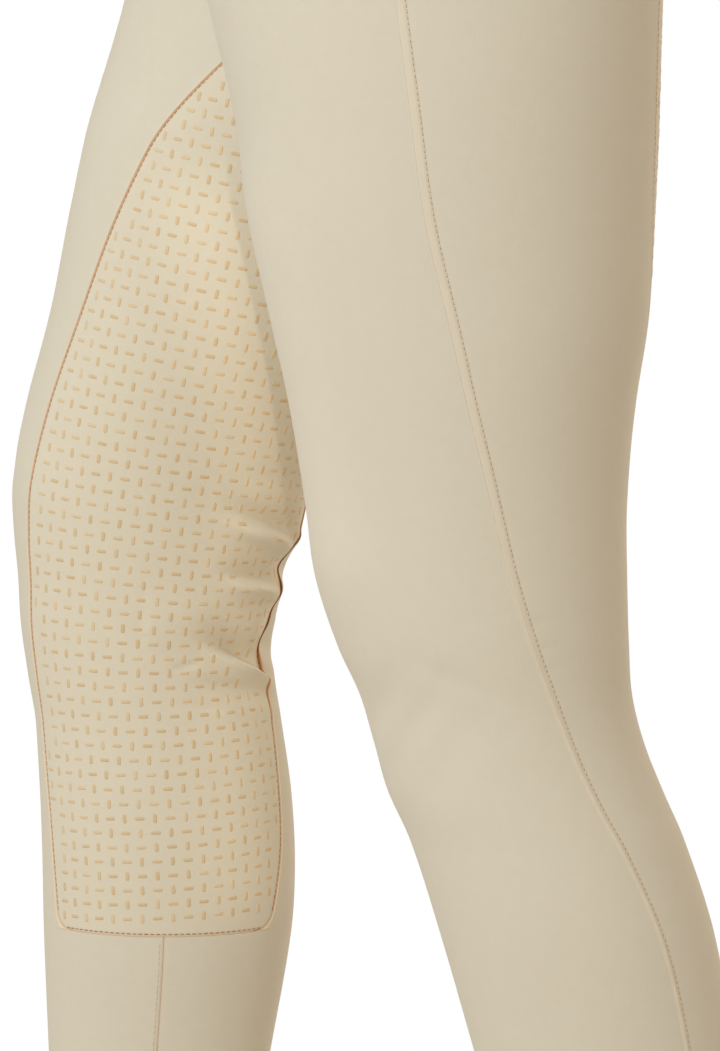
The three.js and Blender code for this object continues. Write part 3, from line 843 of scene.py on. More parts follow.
def waistband(material):
    """A doubled strip: its section is a rectangle with round corners, carried round the waist, and drawn
    in to a round edge at the two ends. Rows of stitching sink its face a little."""
    top, foot = BAND_TOP, BAND_FOOT + SEAM_OPEN / 2
    corner = 1.1
    angles = np.radians([90, 70, 50, 30, 10, 0])
    arc_out = corner * (1 - np.cos(angles))[::-1]
    arc_in = corner * (1 - np.sin(angles))[::-1]
    edge = np.linspace(top - corner, foot + corner, 30)[1:-1]
    face = np.concatenate([top - arc_in, edge, foot + arc_in[::-1]])
    depth = np.concatenate([BAND_CLOTH - arc_out[::-1], 0 * edge + BAND_CLOTH, BAND_CLOTH - arc_out])
    depth = np.clip(depth, BAND_CLOTH / 2, BAND_CLOTH)
    stitched = bell(face - BAND_STITCH_TOP, 0.8) + bell(face - BAND_STITCH_FOOT, 0.8)
    half = depth - BAND_CLOTH / 2 - 0.22 * stitched
    end_turn = 2 + tab_lap_turn()
    length = float(stride(LEFT, 0.0, 0.0))
    ends = np.array([0, 0.15, 0.4, 0.8, 1.3, 2.2]) / length
    between = np.linspace(4 / length, end_turn - 4 / length, 300)
    turn = np.concatenate([ends, between, end_turn - ends[::-1]])
    inset = np.minimum(turn, end_turn - turn) * length
    fullness = np.sqrt(1 - (1 - np.clip(inset / 1.3, 0.03, 1)) ** 2)
    turns, faces = np.meshgrid(turn, face)
    thick = half[:, None] * fullness[None, :]
    outer = band_skin(turns, faces, BAND_CLOTH / 2 + thick)
    inner = band_skin(turns, faces, BAND_CLOTH / 2 - thick)
    mapped = np.stack([turns * length, faces], -1) * MM
    marks = {"painted_shade": 0 * turns, "painted_highlight": 0 * turns}
    return wall("waistband_cloth", outer, inner, mapped, material, False, marks=marks)


def across_front(length, height, out):
    """A point a length to the right of the front middle, or to the left where the length is below 0."""
    right = skin(RIGHT, np.maximum(length, 0) / stride(RIGHT, 0 * height, height), height, out)
    left = skin(LEFT, np.maximum(-length, 0) / stride(LEFT, 0 * height, height), height, out)
    return np.where((length >= 0)[..., None], right, left)


def fly_width(height):
    """The width of the fly at a level: full above, and a quarter of an ellipse to its foot."""
    above = np.clip((height - FLY_FOOT) / FLY_CURVE, 0, 1)
    return FLY_WIDTH * np.maximum(np.sqrt(1 - (1 - above) ** 2), 0.12)


def fly(material):
    """A placket on the right front that laps the front middle and ends in a curve."""
    top = BAND_FOOT - SEAM_GAP
    height = top + (FLY_FOOT - top) * np.sin(np.linspace(0, 1, 60) * pi / 2)[:, None]
    share = np.linspace(0, 1, 36)[None, :]
    share = share - 0.11 * np.sin(2 * pi * share)
    length = -FLY_LAP + (FLY_LAP + fly_width(height)) * (1 - share)
    edge = np.minimum(length + FLY_LAP, fly_width(height) - length)
    edge = np.minimum(edge, height - FLY_FOOT)
    rounding = -0.75 * bell(edge, 0.7) - 0.2 * bell(edge - FLY_STITCH, 0.7)
    outer = across_front(length, height, SEAM_GAP + CLOTH + rounding)
    inner = across_front(length, height, SEAM_GAP + 0 * length)
    mapped = np.stack([length, height + 0 * length], -1) * MM
    # Painted shade along the placket's rounded edge
    marks = {"painted_shade": 0.4 * bell(edge, 0.4), "painted_highlight": 0 * edge}
    return wall("fly_cloth", outer, inner, mapped, material, False, marks=marks)



def pad_shape(length, width, height, sink, top):
    """A low pad with round ends: an outline of two half circles and straight sides, carried up from under
    the cloth and drawn in to the part "top" of its half width at its full height."""
    turn = np.radians([-90, -35, 35, 90, 90, 145, 215, 270])
    ends = np.array([1, 1, 1, 1, -1, -1, -1, -1])
    radius = width / 2
    reach = length / 2 - radius
    rings = []
    for part, level in ((1, -sink), (1, 0.5 * height), (top, height)):
        along = reach * ends + part * radius * np.cos(turn)
        across = part * radius * np.sin(turn)
        rings.append(np.stack([along, across, 0 * turn + level], -1))
    ring = np.arange(8)
    bands = [np.stack([ring + a, np.roll(ring, -1) + a, np.roll(ring, -1) + a + 8, ring + a + 8], -1)
             for a in (0, 8)]
    caps = np.stack([ring[::-1], ring + 16])
    return np.concatenate(rings), np.concatenate(bands), caps


def lay(side, around, height, heading, shape, offset=0.0, out=0.0):
    """Lays one copy of a small shape at each place, bent to the skin. Its first axis points along the
    heading and its third out. Each of its points is a step in the tangent plane, turned into a step
    round and up by the two runs of the skin, and then taken to the skin."""
    across, up = spans(side, around, height)
    normal = unit(np.cross(across, up))
    heading = unit(heading - normal * np.sum(heading * normal, -1, keepdims=True))
    sideways = np.cross(normal, heading)
    move = shape[:, 0, None] * heading[:, None] + (shape[:, 1, None] + offset) * sideways[:, None]
    aa = np.sum(across * across, -1)[:, None]
    au = np.sum(across * up, -1)[:, None]
    uu = np.sum(up * up, -1)[:, None]
    by_across = np.sum(move * across[:, None], -1)
    by_up = np.sum(move * up[:, None], -1)
    square = aa * uu - au * au
    step_round = (uu * by_across - au * by_up) / square
    step_up = (aa * by_up - au * by_across) / square
    lift = np.broadcast_to(out, np.shape(around))[:, None] + shape[:, 2]
    return skin(side, around[:, None] + step_round, height[:, None] + step_up, lift)


class Scatter:
    """Many copies of small shapes, gathered to become one mesh."""

    def __init__(self):
        self.points = []
        self.quads = []
        self.caps = []
        self.shades = []
        self.total = 0
        self.random = np.random.default_rng(7)

    def add(self, side, points, quads, caps):
        """Adds the copies of one shape, an array of copies by points by 3."""
        copies, size = points.shape[:2]
        first = self.total + size * np.arange(copies)
        for store, faces in ((self.quads, quads), (self.caps, caps)):
            numbers = (first[:, None, None] + faces).reshape(-1, faces.shape[1])
            store.append(numbers[:, ::-1] if side.sign < 0 else numbers)
        self.points.append(points.reshape(-1, 3))
        self.shades.append(np.repeat(self.random.random(copies), size))
        self.total += copies * size

    def finish(self, name, material):
        faces = [np.concatenate(self.quads), np.concatenate(self.caps)]
        shades = {"shade": np.concatenate(self.shades)}
        return new_object(name, np.concatenate(self.points), faces, material, marks=shades)


def bar_rows(side):
    """The rows of bars: for each, places along it and their heights. On a row, level plus the row's fall
    times the way back from the leg's middle is the same, which halving an interval solves."""
    base = np.arange(SEAT_TOP - 2, GRIP_FOOT, -BAR_ROW_PITCH)[:, None]
    around = np.linspace(0.66, 1.24, 700)[None, :]
    fall = at(side.row_fall, "fall", base)
    middle = (at(side.leg, "front", base) + at(side.leg, "back", base)) / 2
    low = np.full((len(base), around.shape[1]), GRIP_FOOT - 40.0)
    high = np.where(around > 1, CROTCH, -40.0) + 0 * low
    for _ in range(22):
        height = (low + high) / 2
        point = smooth_skin(side, around, height)
        above = point[..., 2] + fall * (point[..., 1] - middle) > base
        high = np.where(above, height, high)
        low = np.where(above, low, height)
    return np.broadcast_to(around, low.shape), (low + high) / 2


def bars(side, material):
    """The grip's silicone bars: rows of places at equal lengths from the grain line, with bars across and
    bars down by turns, and none nearer than the margin to the edge of the grip."""
    around, height = bar_rows(side)
    points = smooth_skin(side, around, height)
    step = np.linalg.norm(np.diff(points, axis=1), axis=-1)
    run = np.hstack([np.zeros((len(step), 1)), np.cumsum(step, axis=1)])
    grain = run[:, np.searchsorted(around[0], BAR_GRAIN)][:, None]
    reach = 34
    columns = np.arange(-reach, reach + 1)
    distance = grain + columns * BAR_COLUMN_PITCH
    spots = [np.interp(*row) for row in zip(distance, run, around)]
    levels_there = [np.interp(*row) for row in zip(distance, run, height)]
    place = np.array(spots)
    level = np.array(levels_there)
    outside = (distance <= 0) | (distance >= run[:, -1:])
    front = -seam_distance(side, grip_front, place - 1, level)
    back = seam_distance(side, grip_back, place, level)
    closed = np.where(level > CROTCH, (1 - place) * stride(side, place, level), front)
    inside = (back > BAR_MARGIN) & (closed > BAR_MARGIN) & (level > GRIP_FOOT + BAR_MARGIN)
    inside &= ~outside & ((place < 1) | (level < CROTCH - 1)) & (level < SEAT_TOP - BAR_MARGIN)
    reach = BAR_DOWN[0] / 2
    plunge = fold_depth(side, place, level + reach) - fold_depth(side, place, level - reach)
    inside &= np.abs(plunge) < STEEPEST_BAR
    heading = smooth_skin(side, place + 0.004, level) - smooth_skin(side, place - 0.004, level)
    tilt = at(side.row_fall, "fall", level)
    heading = unit(heading)
    heading[..., 2] = heading[..., 2] - tilt * heading[..., 1]
    odd = (np.arange(len(place))[:, None] + columns) % 2 == 0
    made = Scatter()
    across = pad_shape(*BAR_ACROSS, BAR_HEIGHT, 0.3, 0.62)
    down = pad_shape(*BAR_DOWN, BAR_HEIGHT, 0.3, 0.62)
    turned = down[0][:, [1, 0, 2]] * [-1, 1, 1]
    for (shape, quads, caps), chosen in ((across, inside & odd), ((turned, *down[1:]), inside & ~odd)):
        made.add(side, lay(side, place[chosen], level[chosen], heading[chosen], shape), quads, caps)
    return made.finish(f"silicone_bars_{side.hand}", material)


def stitch_line(made, side, around, height, offset=0.0, out=0.0, pitch=STITCH_PITCH, size=None, late=0.5):
    """A row of stitches along a line of places: at equal lengths, each pointing along the line. "late" is
    the first one's place, as a part of the pitch."""
    around, height = np.broadcast_arrays(np.asarray(around, float), np.asarray(height, float))
    points = smooth_skin(side, around, height)
    step = np.linalg.norm(np.diff(points, axis=0), axis=-1)
    run = np.concatenate([[0], np.cumsum(step)])
    count = max(2, int(run[-1] / pitch))
    spots = (np.arange(count) + late) * run[-1] / count
    place = np.interp(spots, run, around)
    level = np.interp(spots, run, height)
    ahead = smooth_skin(side, np.interp(spots + 0.5, run, around), np.interp(spots + 0.5, run, height))
    behind = smooth_skin(side, np.interp(spots - 0.5, run, around), np.interp(spots - 0.5, run, height))
    lift = np.interp(spots, run, np.broadcast_to(out, run.shape))
    shape, quads, caps = pad_shape(*(size or (STITCH_LENGTH, STITCH_WIDTH)), 0.26, 0.2, 0.5)
    shift = np.interp(spots, run, np.broadcast_to(offset, run.shape))
    made.add(side, lay_shifted(side, place, level, ahead - behind, shape, shift, lift), quads, caps)


def lay_shifted(side, place, level, heading, shape, shift, lift):
    """Lays copies whose sideways shift differs from one to the next, by moving their places first."""
    across, up = spans(side, place, level)
    normal = unit(np.cross(across, up))
    ahead = unit(heading - normal * np.sum(heading * normal, -1, keepdims=True))
    move = np.cross(normal, ahead) * shift[:, None]
    aa, au, uu = (np.sum(a * b, -1) for a, b in ((across, across), (across, up), (up, up)))
    by_across, by_up = np.sum(move * across, -1), np.sum(move * up, -1)
    square = aa * uu - au * au
    place = place + (uu * by_across - au * by_up) / square
    level = level + (aa * by_up - au * by_across) / square
    return lay(side, place, level, heading, shape, 0.0, lift)


def grip_stitches(side, material):
    """The topstitching of one grip: along both of its seams and its foot."""
    made = Scatter()
    seat = SEAT_TOP + (SEAT_ARCH_ENDS - SEAT_TOP) * np.linspace(0.1, 1, 400) ** 2
    back = np.concatenate([seat, np.linspace(SEAT_ARCH_ENDS - 0.5, GRIP_FOOT + CORNER, 1100)])
    off = grip_profile(GRIP_STITCH, back) + 0.03
    stitch_line(made, side, grip_back(side, back), back, GRIP_STITCH, off)
    front = np.linspace(-236, GRIP_FOOT + CORNER, 1000)
    out = float(grip_profile(GRIP_STITCH, 0.0)) + 0.03
    stitch_line(made, side, 1 + grip_front(side, front), front, -GRIP_STITCH, out)
    foot = GRIP_FOOT + 1.3
    start = grip_back(side, foot) + 3 / stride(side, 0.85, foot)
    end = 1 + grip_front(side, foot) - 3 / stride(side, 0.85, foot)
    stitch_line(made, side, np.linspace(float(start), float(end), 300), foot, 0.0, 0.03)
    return made.finish(f"grip_stitching_{side.hand}", material)


def side_line(side):
    """The line of the side seam's topstitch: places, levels, the way from the seam and the height there."""
    down = np.linspace(BAND_FOOT - 2, CUFF_TOP + 2, 1500)
    beside = at(SEAM_BAND, "width", down) + 0.1
    return side_seam(side, down), down, beside, side_profile(beside, down)


def needle_hole_shades(side, material):
    """Dark pads of painted shade in the needle holes between the stitches of the side seam."""
    made = Scatter()
    around, down, beside, off = side_line(side)
    stitch_line(made, side, around, down, beside, off - 0.17, SIDE_PITCH, NEEDLE_HOLE, 0.0)
    return made.finish(f"needle_hole_shades_{side.hand}", material)


def panel_stitches(side, material):
    """The topstitching of one side: along the side seam, the join of the cuff, the inseam and the hem."""
    made = Scatter()
    around, down, beside, off = side_line(side)
    stitch_line(made, side, around, down, beside, off - 0.02, SIDE_PITCH, SIDE_STITCH)
    around = np.linspace(0, 1, 600)
    stitch_line(made, side, around, CUFF_TOP + 2.2, 0.0, 0.03)
    for above in (HEM_FOLD, HEM_FOLD - 3.2):
        stitch_line(made, side, around, side.hem + above, 0.0, 0.2 if above == HEM_FOLD else 0.47)
    inseam = np.linspace(GRIP_FOOT - 3, CUFF_TOP + 4, 100)
    stitch_line(made, side, 0 * inseam, inseam, 2.0, 0.02)
    return made.finish(f"topstitching_{side.hand}", material)


def closure_stitches(material):
    """The topstitching of the waistband, along both edges, and of the fly, along its curve."""
    made = Scatter()
    lap = tab_lap_turn()
    stretches = (
        (LEFT, lap + 0.012, 1, 0, 0),
        (RIGHT, 0, 1, 0, 1),
        (LEFT, 0, lap - 0.008, 1, 0),
    )
    for level in (BAND_STITCH_TOP, BAND_STITCH_FOOT):
        for side, first, last, lifted, rising in stretches:
            around = np.linspace(first, last, 700)
            rise = ease((TAB_LIFT_STARTS - around) / (TAB_LIFT_STARTS - TAB_LIFT_ENDS))
            lift = TAB_LIFT * (lifted + rising * rise)
            stitch_line(made, side, around, level, 0.0, BAND_CLOTH - 0.2 + lift)
    height = np.linspace(BAND_FOOT - 3, FLY_FOOT + 1.5, 600)
    length = np.maximum(fly_width(height) - FLY_STITCH, 0.5)
    inner_curve = length > 0.6
    around = (length / stride(RIGHT, 0 * height, height))[inner_curve]
    stitch_line(made, RIGHT, around, height[inner_curve], 0.0, SEAM_GAP + CLOTH - 0.18)
    return made.finish("topstitching_closure", material)


def button_frame():
    """The button's place on the tab and its three directions: along the tab, up and out."""
    around = BUTTON_PLACE / float(stride(LEFT, 0.0, 0.0))
    across, up = spans(LEFT, np.array(around), np.array(0.0))
    out = unit(np.cross(across, up))
    place = skin(LEFT, around, 0.0, TAB_LIFT + BAND_CLOTH + SEAM_GAP)
    along = unit(across - out * np.dot(across, out))
    return place, along, np.cross(out, along), out


HOLE_REACH = 2.1
HOLE_RADIUS = 0.95


def button(material):
    """A sew-on button: its face is a height field on a disc, with a rolled rim, a shallow dish and four
    blind holes, over a rounded edge and a flat back."""
    place, along, up, out = button_frame()
    radius = np.concatenate([np.linspace(0.02, 5.2, 44), np.linspace(5.4, BUTTON_RADIUS - 0.5, 16)])
    angle = np.linspace(0, 2 * pi, 145)[:-1]
    r, a = np.meshgrid(radius, angle, indexing="ij")
    rim = 0.55 * bell(r - 6.7, 0.95) - 0.35 * ease((r - 7.2) / 1.0)
    face = BUTTON_THICK - 0.75 + rim - 0.1 * bell(r, 4)
    for k in range(4):
        turn = pi / 4 + k * pi / 2
        away = np.hypot(r * np.cos(a) - HOLE_REACH * cos(turn), r * np.sin(a) - HOLE_REACH * sin(turn))
        face = face - 1.5 * ease((HOLE_RADIUS + 0.2 - away) / 0.4)
    edge_angle = np.radians([60, 35, 10, -15, -40, -65, -90])[:, None]
    edge_r = BUTTON_RADIUS - 0.9 + 0.9 * np.cos(edge_angle) + 0 * angle
    edge_z = 0.9 + 0.9 * np.sin(edge_angle) * np.where(edge_angle > 0, 1.1, 1) + 0 * angle
    back_r = np.array([[6.0], [3.0], [0.02]]) + 0 * angle
    rs = np.vstack([r, edge_r, back_r])
    zs = np.vstack([face, edge_z, 0 * back_r])
    angles = angle + 0 * rs
    points = place + (rs * np.cos(angles))[..., None] * along + (rs * np.sin(angles))[..., None] * up
    points = points + zs[..., None] * out
    rows, columns = rs.shape
    number = np.arange(rows * columns).reshape(rows, columns)
    number = np.hstack([number, number[:, :1]])
    corners = [number[1:, :-1], number[1:, 1:], number[:-1, 1:], number[:-1, :-1]]
    quads = np.stack(corners, -1).reshape(-1, 4)
    caps = np.stack([number[0, :-1], number[-1, :-1][::-1]])
    return new_object("button_disc", points.reshape(-1, 3), [quads, caps], material)


def button_thread(material):
    """Two crossed stitches through the button's holes: rods that rise out of one hole and sink into the
    opposite one, each of three strands side by side."""
    place, along, up, out = button_frame()
    t = np.linspace(0, 1, 25)
    reach = HOLE_REACH + 0.1
    way = reach * np.sin((t - 0.5) * pi)
    rise = BUTTON_THICK - 1.75 + 1.55 * np.sin(t * pi) ** 0.35
    ring = np.linspace(0, 2 * pi, 9)[:-1]
    points, quads, caps = [], [], []
    total = 0
    for turn, lifted in ((pi / 4, 0), (3 * pi / 4, 0.28)):
        ahead = along * cos(turn) + up * sin(turn)
        beside = np.cross(out, ahead)
        for strand in (-0.42, 0, 0.42):
            centre = place + way[:, None] * ahead + (rise + lifted)[:, None] * out + strand * beside
            forward = unit(np.gradient(centre, axis=0))
            upward = np.cross(forward, beside)
            circle = 0.24 * (np.cos(ring)[:, None] * beside + np.sin(ring)[:, None] * upward[:, None])
            points.append((centre[:, None] + circle).reshape(-1, 3))
            number = total + np.arange(len(t) * 8).reshape(len(t), 8)
            closed = np.hstack([number, number[:, :1]])
            corners = [closed[:-1, :-1], closed[:-1, 1:], closed[1:, 1:], closed[1:, :-1]]
            quads.append(np.stack(corners, -1).reshape(-1, 4))
            caps.append(np.stack([number[0][::-1], number[-1]]))
            total += number.size
    faces = [np.concatenate(quads), np.concatenate(caps)]
    return new_object("button_thread", np.concatenate(points), faces, material)


class Value:
    """A shader socket with the arithmetic that the materials use."""

    def __init__(self, look, socket):
        self.look = look
        self.socket = socket

    def maths(self, operation, *values):
        return self.look.node("ShaderNodeMath", {"operation": operation}, dict(enumerate(values)))

    def __add__(self, other):
        return self.maths("ADD", self, other)

    def __sub__(self, other):
        return self.maths("SUBTRACT", self, other)

    def __rsub__(self, other):
        return self.maths("SUBTRACT", other, self)

    def __mul__(self, other):
        return self.maths("MULTIPLY", self, other)

    __radd__ = __add__
    __rmul__ = __mul__


class Look:
    """A material on a Principled shader, with one method that adds any other node."""

    def __init__(self, name, **constants):
        self.material = bpy.data.materials.new(name)
        self.material.use_nodes = True
        self.tree = self.material.node_tree
        self.shader = self.tree.nodes["Principled BSDF"]
        for socket, value in constants.items():
            self.shader.inputs[socket.replace("_", " ")].default_value = value

    def node(self, kind, settings=None, sockets=None, out=0):
        """Adds a node: its settings first, then the values or links of its sockets."""
        node = self.tree.nodes.new(kind)
        for setting, value in (settings or {}).items():
            setattr(node, setting, value)
        for socket, value in (sockets or {}).items():
            if isinstance(value, Value):
                self.tree.links.new(value.socket, node.inputs[socket])
            else:
                node.inputs[socket].default_value = value
        return Value(self, node.outputs[out])

    def link(self, **values):
        for socket, value in values.items():
            self.tree.links.new(value.socket, self.shader.inputs[socket.replace("_", " ")])

    def mark(self, name):
        return self.node("ShaderNodeAttribute", {"attribute_name": name}, out="Fac")

    def object_place(self):
        return self.node("ShaderNodeTexCoord", out="Object")

    def noise(self, scale, detail=2.0, rough=0.5, place=None):
        """Noise centred on 0, about -0.5 to 0.5."""
        place = place or self.object_place()
        sockets = {"Vector": place, "Scale": scale, "Detail": detail, "Roughness": rough}
        return self.node("ShaderNodeTexNoise", None, sockets) - 0.5

    def mix(self, factor, first, second, blend="MIX"):
        settings = {"data_type": "RGBA", "blend_type": blend}
        return self.node("ShaderNodeMix", settings, {0: factor, 6: first, 7: second}, out=2)

    def bump(self, height, strength, distance):
        sockets = {"Height": height, "Strength": strength, "Distance": distance}
        return self.node("ShaderNodeBump", None, sockets)


def colour(red, green, blue):
    """A colour from 0 to 255, as linear light."""
    return tuple(((v / 255 + 0.055) / 1.055) ** 2.4 for v in (red, green, blue)) + (1.0,)


# Painted colours for the seams: brown painted shade in their ditches, a deeper painted shade where the
# knee's creases pull the grip seam in, and a pale painted highlight on raised rims and bands
DITCH_SHADE = colour(203, 152, 104)
DEEP_SEAM_SHADE = colour(112, 72, 38)
RIM_HIGHLIGHT = colour(244, 220, 184)


def knit_look(name, base, shade, wale=0.55):
    """Fine stretch knit: wales and courses as low relief on the panel's own map, soft mottling, and the
    seams' painted shade in their ditches and painted highlight on their rims and bands."""
    look = Look(name, Roughness=0.92, Sheen_Weight=0.12, Sheen_Roughness=0.55, Specular_IOR_Level=0.2)
    place = look.object_place()
    mottle = look.noise(160.0, 3.0, 0.6, place) * 0.6 + look.noise(14.0, 2.0, 0.5, place) * 0.35
    tone = look.mix(0.5 + mottle, shade, base)
    # Painted highlight on seam rims and bands, then painted shade in the ditches, deepest at the back of
    # the knee
    tone = look.mix(look.mark("painted_highlight") * 0.8, tone, RIM_HIGHLIGHT)
    tone = look.mix(look.mark("painted_shade") * 0.85, tone, DITCH_SHADE)
    tone = look.mix(look.mark("painted_shade") - 1, tone, DEEP_SEAM_SHADE)
    flat = look.node("ShaderNodeUVMap")
    parts = look.node("ShaderNodeSeparateXYZ", None, {0: flat})
    across = Value(look, parts.socket.node.outputs[0])
    down = Value(look, parts.socket.node.outputs[1])
    turn = 2 * pi / (wale * MM)
    wales = (across * turn).maths("SINE", across * turn)
    courses = (down * turn * 1.3).maths("SINE", down * turn * 1.3)
    relief = wales * 0.35 + courses * wales * 0.3 + look.noise(900.0, 2.0, 0.6, place) * 1.6
    look.link(Base_Color=tone, Normal=look.bump(relief, 0.35, 0.00012))
    return look.material


def silicone_look():
    """Satin, slightly clear rubber, a little lighter or darker from bar to bar."""
    look = Look("silicone", Roughness=0.5, Specular_IOR_Level=0.35, Sheen_Weight=0.0)
    light = colour(218, 195, 157)
    dark = colour(209, 182, 140)
    tone = look.mix(look.mark("shade") + look.noise(700.0) * 0.5, dark, light)
    look.link(Base_Color=tone, Normal=look.bump(look.noise(1500.0, 2.0), 0.15, 0.0001))
    return look.material


def thread_look(name, dark, light):
    """Polyester sewing thread, a little lighter or darker from stitch to stitch, with fine relief."""
    look = Look(name, Roughness=0.7, Sheen_Weight=0.2, Specular_IOR_Level=0.3)
    tone = look.mix(look.mark("shade"), dark, light)
    twist = look.noise(2600.0, 1.0)
    look.link(Base_Color=tone, Normal=look.bump(twist, 0.4, 0.0001))
    return look.material


def horn_look():
    """Polished horn-coloured resin with slow cloudy streaks and a few darker grains."""
    look = Look("horn", Roughness=0.28, Coat_Weight=0.25, Coat_Roughness=0.12)
    place = look.object_place()
    clouds = look.noise(120.0, 4.0, 0.6, place)
    grains = look.noise(900.0, 2.0, 0.5, place)
    tone = look.mix(0.5 + clouds * 1.6, colour(120, 88, 58), colour(196, 168, 128))
    tone = look.mix(grains * 0.8 + 0.15, tone, colour(92, 66, 44))
    look.link(Base_Color=tone, Roughness=0.26 + clouds * 0.15)
    return look.material


KNIT = knit_look("stretch_knit", colour(217, 209, 190), colour(210, 200, 180))
GRIP_KNIT = knit_look("grip_knit", colour(220, 211, 190), colour(214, 203, 179))
CUFF_KNIT = knit_look("cuff_knit", colour(214, 206, 186), colour(207, 197, 177), wale=0.8)
SILICONE = silicone_look()
THREAD = thread_look("thread", colour(206, 192, 165), colour(218, 206, 180))
# Dark pads of painted shade for the needle holes
HOLE_SHADE = thread_look("needle_hole_shade", colour(160, 143, 112), colour(174, 156, 124))
GRIP_THREAD = thread_look("grip_thread", colour(160, 110, 66), colour(190, 142, 96))
HORN = horn_look()


def half_surface(piece):
    """Half the surface of a closed wall, in square metres: the area of its cloth as worn."""
    areas = np.empty(len(piece.data.polygons))
    piece.data.polygons.foreach_get("area", areas)
    return float(areas.sum()) / 2


# The cut of each piece: width and length in metres before it is worn, and how much wearing it
# stretches the cloth
STRETCH = 1.06
CUTS = {
    "front": (0.25, 0.78),
    "back": (0.20, 0.78),
    "grip": (0.30, 0.70),
    "cuff": (0.25, 0.13),
    "waistband": (0.80, 0.047),
    "fly": (0.04, 0.115),
}


def cloth_piece(piece, kind, node):
    """Puts a cloth piece in its node's place and hides the node's own part. It works out the area of its
    cut, which nothing uses.
    """
    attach(piece, "root")
    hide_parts(node)
    width, length = CUTS[kind]
    area = min(half_surface(piece) / STRETCH, width * length)


def trim_piece(piece):
    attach(piece, "root")


def build():
    for side in SIDES:
        hand = side.hand
        cloth_piece(front_panel(side, KNIT), "front", f"front_{hand}")
        cloth_piece(back_panel(side, KNIT), "back", f"back_{hand}")
        cloth_piece(grip_panel(side, GRIP_KNIT), "grip", f"grip_{hand}")
        cloth_piece(cuff(side, CUFF_KNIT), "cuff", f"cuff_{hand}")
        trim_piece(bars(side, SILICONE))
        trim_piece(grip_stitches(side, GRIP_THREAD))
        trim_piece(panel_stitches(side, THREAD))
        trim_piece(needle_hole_shades(side, HOLE_SHADE))
    cloth_piece(waistband(KNIT), "waistband", "waistband")
    cloth_piece(fly(KNIT), "fly", "fly")
    trim_piece(closure_stitches(THREAD))
    disc = button(HORN)
    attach(disc, "root")
    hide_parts("button")
    trim_piece(button_thread(THREAD))


# The camera: it looks along -X, a little down, from the distance that gives the picture's scale
PICTURE_HEIGHT = 1051
CAMERA_ELEVATION = radians(6)
CAMERA_DISTANCE = 2.25
CAMERA_TARGET = Vector((0, -0.017, -0.4972))
PIXELS_FOCAL = 5023
SENSOR = 36


def set_camera():
    data = bpy.data.cameras.new("camera")
    data.sensor_width = SENSOR
    data.lens = PIXELS_FOCAL * SENSOR / PICTURE_HEIGHT
    camera = bpy.data.objects.new("camera", data)
    away = Vector((cos(CAMERA_ELEVATION), 0, sin(CAMERA_ELEVATION)))
    camera.location = CAMERA_TARGET + CAMERA_DISTANCE * away
    camera.rotation_euler = (-away).to_track_quat("-Z", "Y").to_euler()
    bpy.context.scene.collection.objects.link(camera)
    bpy.context.scene.camera = camera


# The two narrow lights on the back of the far leg
STRIP_AZIMUTH = 5
STRIP_WIDTH = 0.036
STRIP_SPREAD = 1.5
STRIP_TINT = (1.0, 0.93, 0.86)


def put_light(data, watts, tint, middle, distance, azimuth, elevation, tilt=0):
    """Puts a light at a distance from a middle, aimed at it and turned about its own axis by the tilt.
    Azimuth 0 is at the camera, and above 0 it is further to the garment's back."""
    data.energy = watts
    data.color = tint
    light = bpy.data.objects.new(data.name, data)
    turn = radians(azimuth)
    rise = radians(elevation)
    away = Vector((cos(turn) * cos(rise), sin(turn) * cos(rise), sin(rise)))
    light.location = middle + distance * away
    aim = (-away).to_track_quat("-Z", "Y") @ Quaternion((0, 0, 1), radians(tilt))
    light.rotation_euler = aim.to_euler()
    bpy.context.scene.collection.objects.link(light)


def area_light(name, azimuth, elevation, size, watts, tint):
    """A square light three metres from the object."""
    data = bpy.data.lights.new(name, "AREA")
    data.size = size
    put_light(data, watts, tint, CAMERA_TARGET, 3, azimuth, elevation)


def strip_light(name, middle, tilt, height, watts):
    """A narrow warm light with a grid, two metres from a middle in mm: its beam keeps nearly its own
    width. The tilt leans its top to the garment's front."""
    data = bpy.data.lights.new(name, "AREA")
    data.shape = "RECTANGLE"
    data.size = STRIP_WIDTH
    data.size_y = height
    data.spread = radians(STRIP_SPREAD)
    put_light(data, watts, STRIP_TINT, Vector(middle) * MM, 2, STRIP_AZIMUTH, 0, tilt)


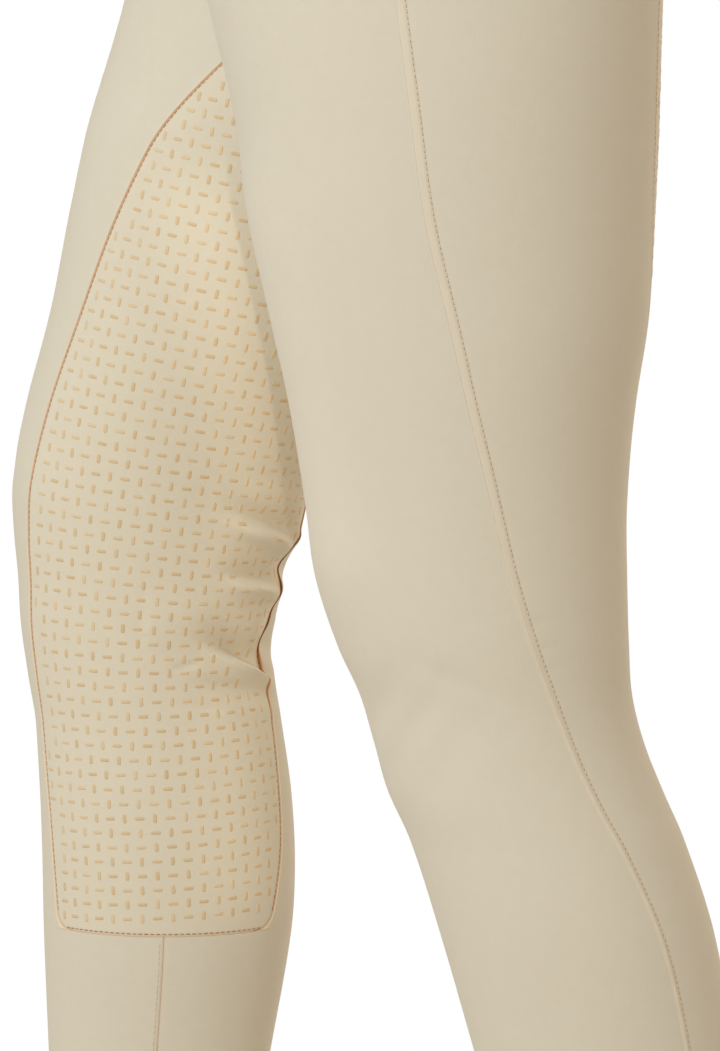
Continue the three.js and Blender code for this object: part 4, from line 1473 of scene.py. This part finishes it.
def set_world(ambient):
    """White behind the object, and an even warm light on it."""
    world = bpy.data.worlds.new("studio")
    bpy.context.scene.world = world
    world.use_nodes = True
    tree = world.node_tree
    tree.nodes.clear()
    path = tree.nodes.new("ShaderNodeLightPath")
    seen = tree.nodes.new("ShaderNodeBackground")
    seen.inputs["Color"].default_value = (1, 1, 1, 1)
    lit = tree.nodes.new("ShaderNodeBackground")
    lit.inputs["Color"].default_value = (*ambient, 1)
    choice = tree.nodes.new("ShaderNodeMixShader")
    output = tree.nodes.new("ShaderNodeOutputWorld")
    tree.links.new(path.outputs["Is Camera Ray"], choice.inputs[0])
    tree.links.new(lit.outputs[0], choice.inputs[1])
    tree.links.new(seen.outputs[0], choice.inputs[2])
    tree.links.new(choice.outputs[0], output.inputs["Surface"])


def set_floor():
    """A plain white floor under the hems that neither shades nor lights the cloth."""
    half = 6000
    level = -905
    corners = np.array([
        (-half, -half, level),
        (half, -half, level),
        (half, half, level),
        (-half, half, level),
    ])
    white = bpy.data.materials.new("white_floor")
    white.use_nodes = True
    shader = white.node_tree.nodes["Principled BSDF"]
    shader.inputs["Base Color"].default_value = (0, 0, 0, 1)
    shader.inputs["Specular IOR Level"].default_value = 0
    shader.inputs["Emission Color"].default_value = (1, 1, 1, 1)
    shader.inputs["Emission Strength"].default_value = 1
    floor = new_object("floor", corners.astype(float), [np.array([[0, 1, 2, 3]])], white)
    floor.visible_diffuse = False
    floor.visible_glossy = False
    floor.visible_shadow = False


def set_light():
    bpy.context.scene.view_settings.view_transform = "Standard"
    set_world((0.62, 0.55, 0.46))
    area_light("key", -31, 28, 1.4, 52, (0.8, 0.9, 1.0))
    area_light("front", -104, 10, 1.2, 9, (0.6, 0.85, 1.0))
    area_light("behind", 152, 14, 1.4, 30, (1.0, 0.86, 0.72))
    area_light("back", 120, 24, 2.0, 5, (1.0, 0.94, 0.86))
    strip_light("far_thigh", (-45, -74, -423), 11, 0.165, 0.0034)
    strip_light("far_calf", (-45, -71, -593), 0, 0.18, 0.0026)


build()
set_camera()
set_light()
set_floor()
